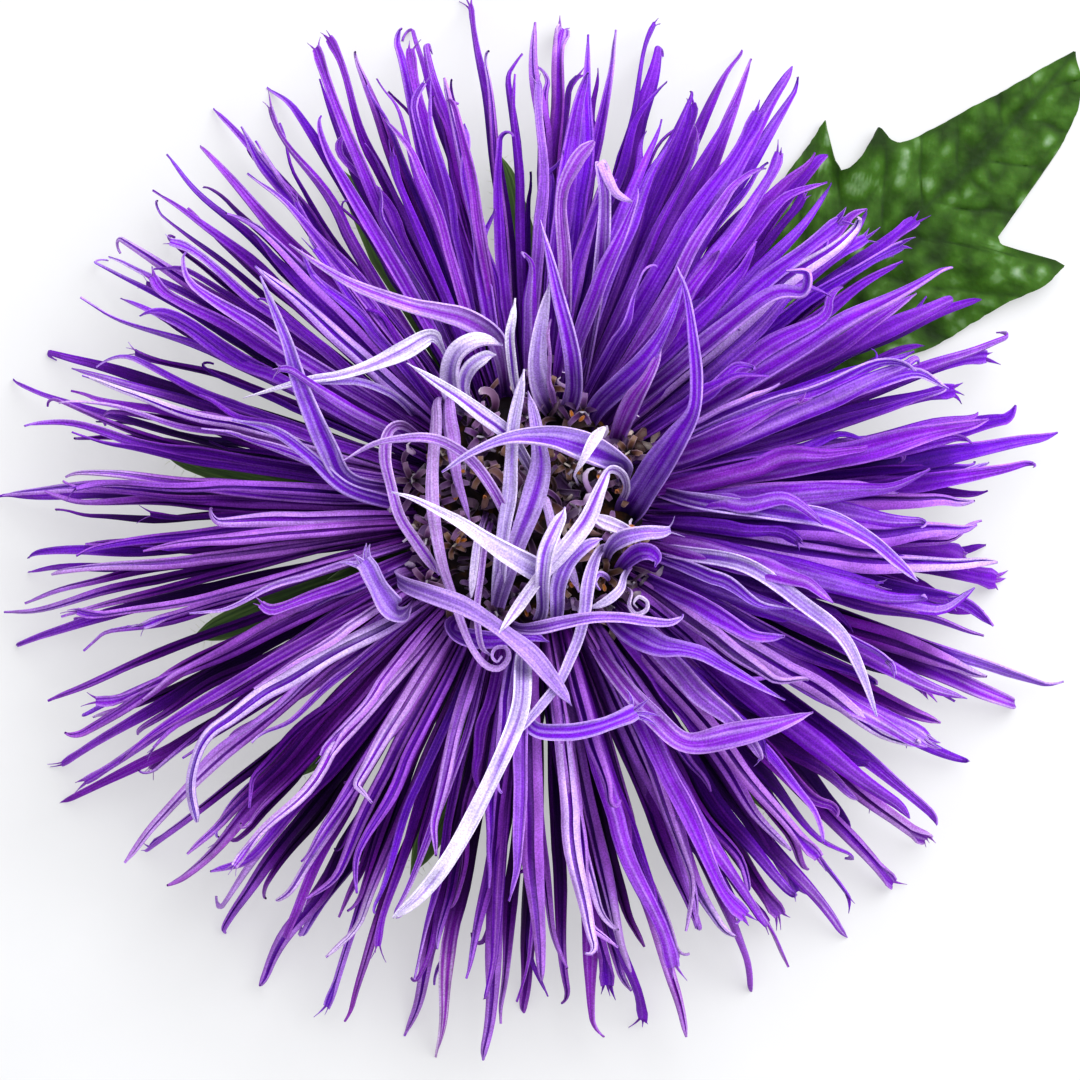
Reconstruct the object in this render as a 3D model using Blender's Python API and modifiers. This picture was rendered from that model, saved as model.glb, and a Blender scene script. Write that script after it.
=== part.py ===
"""A needle-flowered China aster head, cut with a stub of its stalk and one leaf, lying face up.

Metres, +Z up. The origin is on the surface, under the middle of the whole part's box.
The flower is described in millimetres round the head's own axis, which stands near the origin.
"""

import math
import random

import bmesh
import bpy
from mathutils import Matrix, Vector

MM = 0.001

# The head's axis, from the middle of the part's box
HEAD_X = -1.4
HEAD_Y = 1.6

# Fine gap between neighbours that would otherwise touch
GAP = 0.3

# Stalk: a short cut stub, a little wider where it meets the cup
STALK_RADIUS = 2.1
STALK_TOP = 8.0
STALK_SIDES = 12

# Cup of green bracts under the head
CUP_BOTTOM = STALK_TOP + GAP
CUP_TOP = 14.7
CUP_FOOT_RADIUS = 2.6
CUP_RADIUS = 12.2

# Base that the long florets grow from: a dish with a boss in the middle
BASE_BOTTOM = CUP_TOP + GAP
BASE_RADIUS = 13.4
DISH_RADIUS = 11.5
DISH_FLOOR = 19.6
RIM_TOP = 20.8
BOSS_RADIUS = 3.2
BOSS_TOP = 24.6

# Ring of small florets that sits in the dish
RING_INNER = BOSS_RADIUS + GAP + 0.4
RING_OUTER = DISH_RADIUS - GAP - 0.2
RING_FLOOR = DISH_FLOOR + GAP
RING_CREST = 22.6
SMALL_FLORET_COUNT = 74
SMALL_FLORET_HEIGHT = 2.6
SMALL_FLORET_WIDTH = 1.7

# Long florets: three-sided needles, flat on top, with a keel below their centre line
NEEDLE_WIDTH = 1.3
NEEDLE_TOP = 0.35
NEEDLE_KEEL = 0.65
NEEDLE_STEPS = 5
HAND_STEPS = 8
FLORET_SEED = 29

# How the whorled florets vary: spacing as a share of the even one, angles in degrees, and the
# share of a floret's length that each end of its curve follows straight on
SPACING_SPREAD = 0.25
TIP_SPREAD = 1.26
SWAY_SPREAD = 2.9
RISE_SPREAD = 5.0
FALL_SPREAD = 12.0
ROOT_RUN = 0.40
TIP_RUN = 0.32

# The last part of each floret turns aside into a hook, up to this far in mm
HOOK_SHARE = 0.125
HOOK_SIDE = 0.9
HOOK_DROP = 0.4
HOOK_RISE = 0.8

# Neighbouring florets lean together into this many loose locks, by this angle in degrees
LOCKS = 23
GATHERING = 0.7

# How far the tips reach, as seen from above: longest towards the lower left
REACH = 51.4
REACH_SWING = 2.2
REACH_AZIMUTH = 240.0

# The eye that the reach and the hand-placed florets are seen from
EYE_X = 1.0
EYE_Y = -3.0
EYE_HEIGHT = 450.0
EYE_FOCUS = 15.0

# Whorls from the lowest to the innermost: count, root radius, root height, angle at the root,
# angle at the tip, tip height, and the least and most of the reach that their tips take
WHORLS = (
    (38, 11.4, 16.4, 4.0, -44.0, 0.4, 0.97, 1.03),
    (43, 11.2, 17.0, 14.0, -26.0, 8.0, 0.93, 1.02),
    (44, 11.0, 17.6, 25.0, -12.0, 15.5, 0.88, 1.00),
    (38, 10.9, 17.8, 38.0, -2.0, 22.5, 0.76, 0.96),
    (22, 11.0, 17.6, 50.0, 6.0, 28.5, 0.52, 0.80),
)

# The leaf lifts what lies over it
LEAF_AZIMUTH = 38.0
LEAF_SPREAD = 26.0
LEAF_LIFT = 4.0

# Florets that cross the middle or lie over the rest, from root to tip as x, y and height in
# millimetres seen from above, each with its width beside the needles' own
HAND_FLORETS = {
    "pale_strap": (1.6, [(-6.2, 11.2, 18.5), (-7.6, 15.6, 26), (-8.6, 18.3, 30), (-15.8, 15.2, 31.5),
                         (-22.7, 13.1, 31), (-28.7, 11.4, 30)]),
    "spear": (1.3, [(-12.6, 2.0, 18.5), (-18.2, 3.1, 25), (-20.3, 6.6, 29), (-22.7, 12.1, 33),
                    (-24.4, 17.3, 35), (-26.7, 23.3, 36)]),
    "left_sabre": (1.2, [(-12.4, 0.6, 18.5), (-14.8, 1.1, 22), (-18.6, 2.4, 26), (-22.0, 5.5, 28),
                         (-25.5, 8.0, 28.5), (-29.8, 9.0, 27.5)]),
    "wide_sweep": (1.7, [(-2.6, 12.0, 18.5), (-3.8, 19.0, 27), (-10.0, 21.0, 30.5), (-15.8, 22.1, 32),
                         (-20.3, 24.1, 33), (-24.1, 26.6, 33)]),
    "left_arch": (1.1, [(-1.6, 0.8, 22.5), (-3.1, 1.8, 27.4), (-6.5, 5.5, 31), (-10.3, 7.1, 32),
                        (-15.1, 6.6, 31), (-18.6, 4.9, 29)]),
    "pale_blade": (1.2, [(1.0, -1.6, 22.5), (2.5, -5.0, 28), (1.0, -6.5, 30), (-6.9, -2.3, 31.5),
                         (-13.7, 1.6, 31)]),
    "top_arch": (1.3, [(11.2, 6.2, 18.5), (10.6, 6.0, 25.5), (8.5, 5.0, 30), (5.4, 7.3, 33),
                       (0.6, 8.1, 34.5), (-5.0, 6.1, 34), (-8.9, 3.6, 32)]),
    "middle_spire": (1.3, [(-4.2, -11.9, 18.5), (-3.4, -10.4, 27.2), (-1.6, -0.9, 29.6), (-2.2, 3.0, 31),
                           (-1.6, 8.4, 32.5), (-0.5, 14.0, 33.5)]),
    "upper_spear": (1.1, [(-0.9, 12.5, 18.5), (-1.0, 14.2, 25), (-1.9, 17.6, 30), (-1.7, 21.0, 33)]),
    "right_sail": (2.0, [(12.4, 0.2, 18.5), (13.0, 1.5, 23), (14.7, 4.2, 27.5), (16.9, 8.9, 31),
                         (17.2, 14.5, 33.5), (15.8, 21.0, 35), (14.8, 24.2, 36)]),
    "right_wing": (1.8, [(6.0, 11.0, 18.5), (7.2, 12.0, 23), (11.3, 15.4, 28), (14.7, 21.0, 31.5)]),
    "upper_sail": (1.5, [(3.9, 11.9, 18.5), (4.4, 16.6, 26), (3.1, 24.8, 31.5), (1.0, 29.0, 33)]),
    "crook": (1.2, [(-2.0, 0.4, 22.5), (-5.8, 1.0, 27.6), (-7.8, 7.0, 30), (-8.1, 13.7, 31),
                    (-6.4, 16.5, 30), (-3.3, 16.8, 28.5)]),
    "long_curl": (1.2, [(-8.8, 8.8, 18.5), (-10.0, 10.4, 24.5), (-9.7, 4.2, 29.5), (-9.2, -2.8, 30.5),
                        (-8.3, -7.1, 30), (-6.4, -12.1, 29), (-4.4, -15.8, 28), (-3.0, -14.9, 27.6),
                        (-4.2, -13.9, 27.8)]),
    "left_bow": (1.0, [(-10.8, 6.2, 18.5), (-13.8, 6.5, 25), (-13.7, 0.0, 27.5), (-11.4, -4.2, 28.2),
                       (-9.5, -6.5, 28.4)]),
    "lower_strap": (1.4, [(-11.3, -5.2, 18.5), (-13.2, -6.3, 24), (-7.8, -8.7, 28.2), (-2.2, -11.8, 29.5),
                          (2.0, -15.5, 29), (4.0, -19.4, 27.5)]),
    "lobed_tip": (1.5, [(-10.2, -7.4, 18.5), (-13.0, -10.0, 23), (-14.8, -9.3, 26), (-16.2, -5.7, 28),
                        (-18.4, -4.2, 28.5)]),
    "cross_strap": (1.2, [(-2.7, -12.2, 18.5), (-2.4, -11.2, 27), (0.6, -7.1, 31.5), (4.8, -2.0, 33),
                          (7.4, 3.0, 33.5), (8.7, 4.2, 32.5)]),
    "right_reach": (1.0, [(-1.0, -12.4, 18.5), (0.2, -12.0, 26), (6.2, -10.9, 29.2), (11.9, -10.7, 29.6),
                          (15.0, -11.0, 28.5)]),
    "down_string": (0.9, [(1.7, -1.2, 22.5), (4.8, -3.3, 27.8), (6.2, -5.2, 30), (5.4, -11.3, 31.5),
                          (3.4, -16.9, 30.5), (-1.0, -22.5, 28)]),
    "middle_spur": (1.1, [(1.3, -12.4, 18.5), (1.2, -10.8, 27.2), (1.8, -4.2, 31), (3.2, 0.0, 33)]),
    "side_spur": (1.0, [(3.7, -12.0, 18.5), (3.2, -10.2, 27.2), (3.6, -5.1, 29), (7.1, -3.1, 30)]),
    "right_drape": (1.7, [(7.7, -9.8, 18.5), (8.8, -12.1, 23), (13.3, -14.6, 27), (16.9, -14.1, 28.8),
                          (21.0, -16.0, 28.8), (25.5, -19.0, 27)]),
    "kinked": (1.7, [(4.6, -11.6, 18.5), (7.0, -18.0, 25.5), (15.5, -23.3, 28.4), (20.5, -22.6, 29),
                     (28.2, -20.2, 27.5)]),
    "forked": (1.5, [(-2.2, -12.2, 18.5), (-2.2, -18.0, 24), (-0.5, -22.3, 27), (4.5, -23.0, 28.4),
                     (10.7, -20.3, 29)]),
    "long_pale": (1.3, [(-0.4, -12.5, 18.5), (-1.4, -16.4, 26), (-1.4, -22.3, 30.5), (-3.4, -27.8, 32),
                        (-7.2, -34.0, 31), (-13.6, -40.8, 28)]),
    "left_hook": (1.1, [(-9.2, -8.4, 18.5), (-12.0, -11.5, 22.5), (-18.6, -16.8, 27.5), (-25.5, -19.5, 29.5),
                        (-31.0, -22.6, 29.8), (-33.4, -26.4, 28), (-33.4, -31.2, 25.5)]),
    "right_bow": (1.2, [(12.0, -3.8, 18.5), (15.0, -4.4, 22.5), (21.7, -5.7, 28), (27.8, -9.9, 30),
                        (31.0, -12.6, 29.8), (33.0, -16.1, 28.4), (34.7, -20.6, 26)]),
    "right_tip": (1.1, [(12.3, 1.9, 18.5), (22.0, 1.5, 27.5), (32.7, -3.0, 29.5), (38.9, -7.0, 27.5)]),
    "ring_curl": (1.2, [(8.6, 9.2, 18.5), (17.0, 16.0, 26.5), (24.0, 21.2, 29), (27.4, 21.6, 29.6),
                        (27.6, 23.8, 30.2), (25.6, 23.9, 30.4)]),
}

# Bracts under the rays: the long leafy ones in a ring, the short ones in rings up the cup
BRACT_COUNT = 13
BRACT_REACH = 39.0
BRACT_WIDTH = 4.4
BRACT_THICKNESS = 0.8
BRACT_START = 7.5
SHORT_BRACT_COUNT = 16
SHORT_BRACT_WIDTH = 3.6
BRACT_SEED = 11

# Leaf: its midrib from the stalk to its tip, and each side's outline as distance along the
# midrib from the stalk and width along the side veins, which slant forward
MIDRIB = [(2.05, 1.35), (12.0, 8.0), (22.0, 15.2), (31.5, 22.3), (40.5, 30.2), (50.8, 40.0), (57.2, 47.4)]
VEIN_SLANT = 0.8
LEAF_LEFT = [(0.0, 1.2), (11.0, 1.3), (17.0, 3.4), (24.0, 7.4), (29.5, 12.6), (35.4, 14.2), (37.6, 8.8),
             (40.6, 8.4), (43.4, 9.6), (46.0, 6.8), (52.0, 5.2), (59.4, 3.4), (66.6, 1.5), (71.4, 0.05)]
LEAF_RIGHT = [(0.0, 1.2), (11.0, 1.3), (18.0, 3.6), (24.5, 7.2), (28.5, 8.8), (32.0, 10.9), (35.5, 11.6),
              (38.6, 12.5), (41.5, 14.0), (44.4, 14.1), (45.3, 8.2), (52.4, 6.3), (59.2, 5.2),
              (64.0, 3.9), (68.4, 2.2), (71.4, 0.05)]
LEAF_LENGTH = 71.4
PETIOLE_LENGTH = 11.0
LEAF_THICKNESS = 0.7
PETIOLE_THICKNESS = 1.9
LEAF_WAVE = 2.0
LEAF_FLAT_HALF_WIDTH = 5.0
LEAF_ROWS = 3


def clear_scene():
    for obj in list(bpy.data.objects):
        bpy.data.objects.remove(obj, do_unlink=True)


def collection_named(name):
    made = bpy.data.collections.new(name)
    bpy.context.scene.collection.children.link(made)
    return made


def material_named(name, colour, roughness):
    """A Principled material whose colour is given as sRGB hex."""
    made = bpy.data.materials.new(name)
    made.use_nodes = True
    channels = [int(colour[i:i + 2], 16) / 255 for i in (0, 2, 4)]
    linear = [c / 12.92 if c <= 0.04045 else ((c + 0.055) / 1.055) ** 2.4 for c in channels]
    shader = made.node_tree.nodes["Principled BSDF"]
    shader.inputs["Base Color"].default_value = (*linear, 1.0)
    shader.inputs["Roughness"].default_value = roughness
    shader.inputs["Metallic"].default_value = 0.0
    return made


def add_object(name, mesh, collection):
    made = bpy.data.objects.new(name, mesh)
    collection.objects.link(made)
    return made


def turned(name, profile, sides, collection):
    """A solid of revolution about the head's axis, from a profile of radius and height in mm."""
    shape = bmesh.new()
    verts = [shape.verts.new((radius * MM, 0.0, height * MM)) for radius, height in profile]
    edges = [shape.edges.new(pair) for pair in zip(verts, verts[1:])]
    bmesh.ops.spin(shape, geom=verts + edges, cent=(0, 0, 0), axis=(0, 0, 1), angle=math.tau,
                   steps=sides, use_merge=True, use_normal_flip=False, use_duplicate=False)
    bmesh.ops.remove_doubles(shape, verts=shape.verts, dist=1e-6)
    bmesh.ops.recalc_face_normals(shape, faces=shape.faces)
    mesh = bpy.data.meshes.new(name)
    shape.to_mesh(mesh)
    shape.free()
    return add_object(name, mesh, collection)


def polar(radius, azimuth, height):
    return Vector((radius * math.cos(azimuth), radius * math.sin(azimuth), height))


def from_above(point):
    """The place, at its height, of a point seen from the eye above the head."""
    x, y, height = point
    shrink = (EYE_HEIGHT - height) / (EYE_HEIGHT - EYE_FOCUS)
    return Vector((EYE_X + (x - EYE_X) * shrink, EYE_Y + (y - EYE_Y) * shrink, height))


def reach(azimuth):
    """How far from the axis the tips reach, as seen from above, at an azimuth in radians."""
    return REACH + REACH_SWING * math.cos(azimuth - math.radians(REACH_AZIMUTH))


def leaf_lift(azimuth):
    """How far the leaf raises what lies over it, at an azimuth in radians."""
    off = (math.degrees(azimuth) - LEAF_AZIMUTH + 180) % 360 - 180
    return LEAF_LIFT * math.exp(-(off / LEAF_SPREAD) ** 2)


def whorl_florets():
    """The long florets in their whorls, each as the four knots of a Bezier and the hook of its tip."""
    draw = random.Random(FLORET_SEED)
    florets = []
    for count, root_radius, root_height, rise, fall, tip_height, least, most in WHORLS:
        turn = draw.uniform(0, math.tau)
        for number in range(count):
            place = number + draw.uniform(-SPACING_SPREAD, SPACING_SPREAD)
            azimuth = turn + math.tau * place / count
            lean = GATHERING * math.sin(LOCKS * azimuth) + draw.gauss(0, TIP_SPREAD)
            end = azimuth + math.radians(lean)
            seen = draw.uniform(least, most) * reach(end)
            height = tip_height + draw.gauss(0, 0.5 + 0.11 * tip_height) + leaf_lift(end)
            tip = from_above((seen * math.cos(end), seen * math.sin(end), max(height, 0.0)))
            root = polar(root_radius, azimuth, root_height)
            length = (tip - root).length
            leave = math.radians(rise + draw.uniform(-RISE_SPREAD, RISE_SPREAD))
            arrive = math.radians(fall + draw.uniform(-FALL_SPREAD, FALL_SPREAD))
            sway = azimuth + math.radians(draw.gauss(0, SWAY_SPREAD))
            first = root + polar(math.cos(leave), azimuth, math.sin(leave)) * (ROOT_RUN * length)
            second = tip - polar(math.cos(arrive), sway, math.sin(arrive)) * (TIP_RUN * length)
            hook = Vector((draw.gauss(0, HOOK_SIDE), draw.gauss(0, HOOK_SIDE),
                           draw.uniform(-HOOK_DROP, HOOK_RISE)))
            width = draw.uniform(0.85, 1.1)
            florets.append((root, first, second, tip, hook, width))
    return florets


def fullness(share):
    """A needle's size at a share of its length: narrow at the root, fullest midway, small at its tip."""
    return (0.8 + 0.2 * math.sin(math.pi * share)) * (1 - 0.55 * share ** 6)


def bezier_points(floret, steps):
    """Points along a whorl floret, hooked at its end and kept up on the surface it lies on."""
    root, first, second, tip, hook, width = floret
    points = []
    for number in range(steps + 1):
        t = number / steps
        u = 1 - t
        point = root * u ** 3 + first * (3 * u * u * t) + second * (3 * u * t * t) + tip * t ** 3
        point += hook * max(0.0, 1 - u / HOOK_SHARE) ** 2
        point.z = max(point.z, NEEDLE_KEEL * width * fullness(t))
        points.append(point)
    return points


def through_points(knots, steps):
    """Points on the smooth curve through hand-chosen knots."""
    held = [knots[0] * 2 - knots[1]] + knots + [knots[-1] * 2 - knots[-2]]
    spans = len(knots) - 1
    points = []
    for number in range(steps + 1):
        place = spans * number / steps
        span = min(int(place), spans - 1)
        t = place - span
        a, b, c, d = held[span:span + 4]
        points.append(0.5 * (2 * b + (c - a) * t + (2 * a - 5 * b + 4 * c - d) * t * t
                             + (3 * b - a - 3 * c + d) * t ** 3))
    return points


def needle_profile():
    """The needles' section: flat side up, keel down."""
    curve = bpy.data.curves.new("needle_profile", "CURVE")
    curve.dimensions = "2D"
    corners = curve.splines.new("POLY")
    corners.points.add(2)
    corners.use_cyclic_u = True
    half = NEEDLE_WIDTH / 2
    for point, (x, y) in zip(corners.points, ((-half, NEEDLE_TOP), (0.0, -NEEDLE_KEEL), (half, NEEDLE_TOP))):
        point.co = (x * MM, y * MM, 0.0, 1.0)
    guide = add_object("needle_profile", curve, bpy.context.scene.collection)
    guide.hide_render = True
    return guide


def needle_curve(number, points, width, profile, collection):
    """One needle along its points."""
    curve = bpy.data.curves.new(f"needle_{number}", "CURVE")
    curve.dimensions = "3D"
    curve.twist_mode = "Z_UP"
    curve.bevel_mode = "OBJECT"
    curve.bevel_object = profile
    curve.use_fill_caps = True
    spline = curve.splines.new("POLY")
    spline.points.add(len(points) - 1)
    for index, point in enumerate(points):
        spline.points[index].co = (*(point * MM), 1.0)
        spline.points[index].radius = width * fullness(index / (len(points) - 1))
    return add_object(f"needle_{number}", curve, collection)


def as_meshes(curves):
    """Each curve's solid as a mesh object in place of the curve, with its caps welded."""
    bpy.context.view_layer.update()
    graph = bpy.context.evaluated_depsgraph_get()
    made = []
    for curve in curves:
        mesh = bpy.data.meshes.new_from_object(curve.evaluated_get(graph))
        shape = bmesh.new()
        shape.from_mesh(mesh)
        bmesh.ops.remove_doubles(shape, verts=shape.verts, dist=1e-6)
        bmesh.ops.recalc_face_normals(shape, faces=shape.faces)
        bmesh.ops.triangulate(shape, faces=shape.faces)
        shape.to_mesh(mesh)
        shape.free()
        solid = bpy.data.objects.new(curve.name + "_solid", mesh)
        solid.matrix_world = curve.matrix_world
        curve.users_collection[0].objects.link(solid)
        made.append(solid)
    for curve in curves:
        bpy.data.objects.remove(curve, do_unlink=True)
    return made


def keep_outer_shell(mesh):
    """Keeps the largest closed shell and drops hollows sealed inside it and loose scraps."""
    shape = bmesh.new()
    shape.from_mesh(mesh)
    bmesh.ops.triangulate(shape, faces=shape.faces)
    unseen = set(shape.faces)
    shells = []
    while unseen:
        shell = {unseen.pop()}
        edge_of_search = list(shell)
        while edge_of_search:
            face = edge_of_search.pop()
            for edge in face.edges:
                for other in edge.link_faces:
                    if other in unseen:
                        unseen.discard(other)
                        shell.add(other)
                        edge_of_search.append(other)
        shells.append(shell)
    largest = max(shells, key=len)
    dropped = [face for shell in shells if shell is not largest for face in shell]
    bmesh.ops.delete(shape, geom=dropped, context="FACES")
    shape.to_mesh(mesh)
    shape.free()


def fuse(body, pieces_collection, solver):
    """Joins every object of the collection to the body, then removes them."""
    union = body.modifiers.new("union", "BOOLEAN")
    union.operation = "UNION"
    union.solver = solver
    union.operand_type = "COLLECTION"
    union.collection = pieces_collection
    bpy.context.view_layer.update()
    graph = bpy.context.evaluated_depsgraph_get()
    fused = bpy.data.meshes.new_from_object(body.evaluated_get(graph))
    body.modifiers.clear()
    body.data = fused
    for piece in list(pieces_collection.objects):
        bpy.data.objects.remove(piece, do_unlink=True)
    bpy.data.collections.remove(pieces_collection)
    keep_outer_shell(fused)


def add_stalk(flower):
    profile = [(0.0, 0.0), (STALK_RADIUS, 0.0), (STALK_RADIUS - 0.1, STALK_TOP - 3.0),
               (CUP_FOOT_RADIUS, STALK_TOP), (0.0, STALK_TOP)]
    return turned("stalk", profile, STALK_SIDES, flower)


def bract_blade(name, centre, widths, thickness, collection):
    """A leafy blade along a centre line: a strip with its middle lower than its edges, made solid."""
    shape = bmesh.new()
    rows = []
    for index, (point, width) in enumerate(zip(centre, widths)):
        ahead = centre[min(index + 1, len(centre) - 1)] - centre[max(index - 1, 0)]
        side = Vector((-ahead.y, ahead.x, 0.0)).normalized()
        lift = Vector((0.0, 0.0, 0.12 * width))
        rows.append([shape.verts.new((point + side * (width / 2 * k) + lift * abs(k)) * MM)
                     for k in (-1, 0, 1)])
    for near, far in zip(rows, rows[1:]):
        for k in range(2):
            shape.faces.new((near[k], near[k + 1], far[k + 1], far[k]))
    bmesh.ops.recalc_face_normals(shape, faces=shape.faces)
    if sum(face.normal.z for face in shape.faces) < 0:
        bmesh.ops.reverse_faces(shape, faces=shape.faces)
    bmesh.ops.triangulate(shape, faces=shape.faces)
    mesh = bpy.data.meshes.new(name)
    shape.to_mesh(mesh)
    shape.free()
    blade = add_object(name, mesh, collection)
    skin = blade.modifiers.new("thickness", "SOLIDIFY")
    skin.thickness = thickness * MM
    skin.offset = 0.0
    return blade


def bake_modifiers(objects):
    bpy.context.view_layer.update()
    graph = bpy.context.evaluated_depsgraph_get()
    for obj in objects:
        baked = bpy.data.meshes.new_from_object(obj.evaluated_get(graph))
        obj.modifiers.clear()
        obj.data = baked


def add_involucre(flower):
    """The green cup with its short bracts pressed to it and its long leafy ones spreading below."""
    profile = [(0.0, CUP_BOTTOM), (CUP_FOOT_RADIUS, CUP_BOTTOM), (7.4, 9.9), (10.8, 12.2),
               (CUP_RADIUS, CUP_TOP), (0.0, CUP_TOP)]
    cup = turned("involucre", profile, 20, flower)
    bracts = collection_named("bracts")
    draw = random.Random(BRACT_SEED)
    blades = []
    for number in range(BRACT_COUNT):
        azimuth = math.radians(BRACT_START + 360 * number / BRACT_COUNT)
        lift = leaf_lift(azimuth)
        reach = BRACT_REACH * draw.uniform(0.9, 1.03) * (1 - 0.04 * lift)
        tip_height = 1.7 + lift + draw.uniform(0.0, 0.6)
        stations = ((5.0, 11.0, 0.45), (12.0, 10.8, 0.5), (0.5 * reach + 2, 9.6, 0.75),
                    (0.75 * reach, 6.2, 1.0), (0.92 * reach, tip_height + 1.5, 0.85),
                    (reach, tip_height, 0.2))
        bend = draw.gauss(0, 0.05)
        centre = [polar(radius, azimuth + bend * (radius / reach) ** 2, height + 0.25 * lift)
                  for radius, height, _ in stations]
        widths = [BRACT_WIDTH * share for _, _, share in stations]
        blades.append(bract_blade(f"long_bract_{number}", centre, widths, BRACT_THICKNESS, bracts))
    for number in range(SHORT_BRACT_COUNT):
        azimuth = math.radians(360 * (number + 0.5) / SHORT_BRACT_COUNT)
        reach = draw.uniform(15.5, 18.0)
        stations = ((8.0, 12.6, 0.8), (12.6, 13.3, 1.0), (reach - 1.6, 13.4, 0.8), (reach, 13.1, 0.25))
        centre = [polar(radius, azimuth, height) for radius, height, _ in stations]
        widths = [SHORT_BRACT_WIDTH * share for _, _, share in stations]
        blades.append(bract_blade(f"short_bract_{number}", centre, widths, BRACT_THICKNESS, bracts))
    bake_modifiers(blades)
    fuse(cup, bracts, "EXACT")
    return cup


def add_ray_florets(flower):
    """The long florets, whorled and hand-placed, on the dish that they grow from."""
    profile = [(0.0, BASE_BOTTOM), (BASE_RADIUS - 1.0, BASE_BOTTOM), (BASE_RADIUS, BASE_BOTTOM + 1.2),
               (BASE_RADIUS, RIM_TOP - 0.8), (BASE_RADIUS - 0.7, RIM_TOP), (DISH_RADIUS, RIM_TOP),
               (DISH_RADIUS, DISH_FLOOR), (BOSS_RADIUS, DISH_FLOOR), (BOSS_RADIUS, BOSS_TOP - 0.8),
               (BOSS_RADIUS - 1.0, BOSS_TOP), (0.0, BOSS_TOP)]
    base = turned("ray_florets", profile, 24, flower)
    needles = collection_named("needles")
    profile_guide = needle_profile()
    curves = []
    for floret in whorl_florets():
        points = bezier_points(floret, NEEDLE_STEPS)
        curves.append(needle_curve(len(curves), points, floret[-1], profile_guide, needles))
    for width, knots in HAND_FLORETS.values():
        points = through_points([from_above(knot) for knot in knots], HAND_STEPS)
        curves.append(needle_curve(len(curves), points, width, profile_guide, needles))
    as_meshes(curves)
    bpy.data.objects.remove(profile_guide, do_unlink=True)
    fuse(base, needles, "MANIFOLD")
    return base


def add_disc_florets(flower):
    """The ring of small florets in the dish: a domed ring set with short three-sided tubes."""
    profile = [(RING_INNER, RING_FLOOR), (RING_OUTER, RING_FLOOR), (RING_OUTER, RING_CREST - 1.4),
               (RING_OUTER - 1.2, RING_CREST - 0.4), ((RING_INNER + RING_OUTER) / 2, RING_CREST),
               (RING_INNER + 0.8, RING_CREST - 0.2), (RING_INNER, RING_CREST - 0.8),
               (RING_INNER, RING_FLOOR)]
    ring = turned("disc_florets", profile, 24, flower)
    tubes = collection_named("tubes")
    golden = math.radians(137.508)
    inner = (RING_INNER + 0.9) ** 2
    outer = (RING_OUTER - 0.9) ** 2
    made = []
    for number in range(SMALL_FLORET_COUNT):
        share = (number + 0.5) / SMALL_FLORET_COUNT
        radius = math.sqrt(inner + (outer - inner) * share)
        place = polar(radius, golden * number, RING_CREST - 1.9)
        mesh = bpy.data.meshes.new(f"tube_{number}")
        shape = bmesh.new()
        bmesh.ops.create_cone(shape, cap_ends=True, segments=3, radius1=0.45 * SMALL_FLORET_WIDTH * MM,
                              radius2=0.5 * SMALL_FLORET_WIDTH * MM, depth=(SMALL_FLORET_HEIGHT + 1.4) * MM)
        lean = Matrix.Rotation(golden * number + math.radians(40) * (number % 3), 4, "Z")
        height = Vector((0, 0, (SMALL_FLORET_HEIGHT + 1.4) / 2))
        bmesh.ops.transform(shape, matrix=Matrix.Translation((place + height) * MM) @ lean, verts=shape.verts)
        shape.to_mesh(mesh)
        shape.free()
        made.append(add_object(f"tube_{number}", mesh, tubes))
    fuse(ring, tubes, "EXACT")
    return ring


def along_midrib():
    """The midrib as points with their distance from the stalk, and a reader of place and direction."""
    knots = [Vector((x, y, 0.0)) for x, y in MIDRIB]
    fine = through_points(knots, 60)
    run = [0.0]
    for near, far in zip(fine, fine[1:]):
        run.append(run[-1] + (far - near).length)

    def read(distance):
        held = min(max(distance, 0.0), run[-1] - 1e-6)
        index = max(i for i, value in enumerate(run[:-1]) if value <= held)
        ahead = (fine[index + 1] - fine[index]).normalized()
        return fine[index] + ahead * (distance - run[index]), ahead

    return read


def outline_width(outline, distance):
    for (near, near_width), (far, far_width) in zip(outline, outline[1:]):
        if near <= distance <= far:
            share = (distance - near) / (far - near)
            return near_width + (far_width - near_width) * share
    return outline[-1][1]


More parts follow.
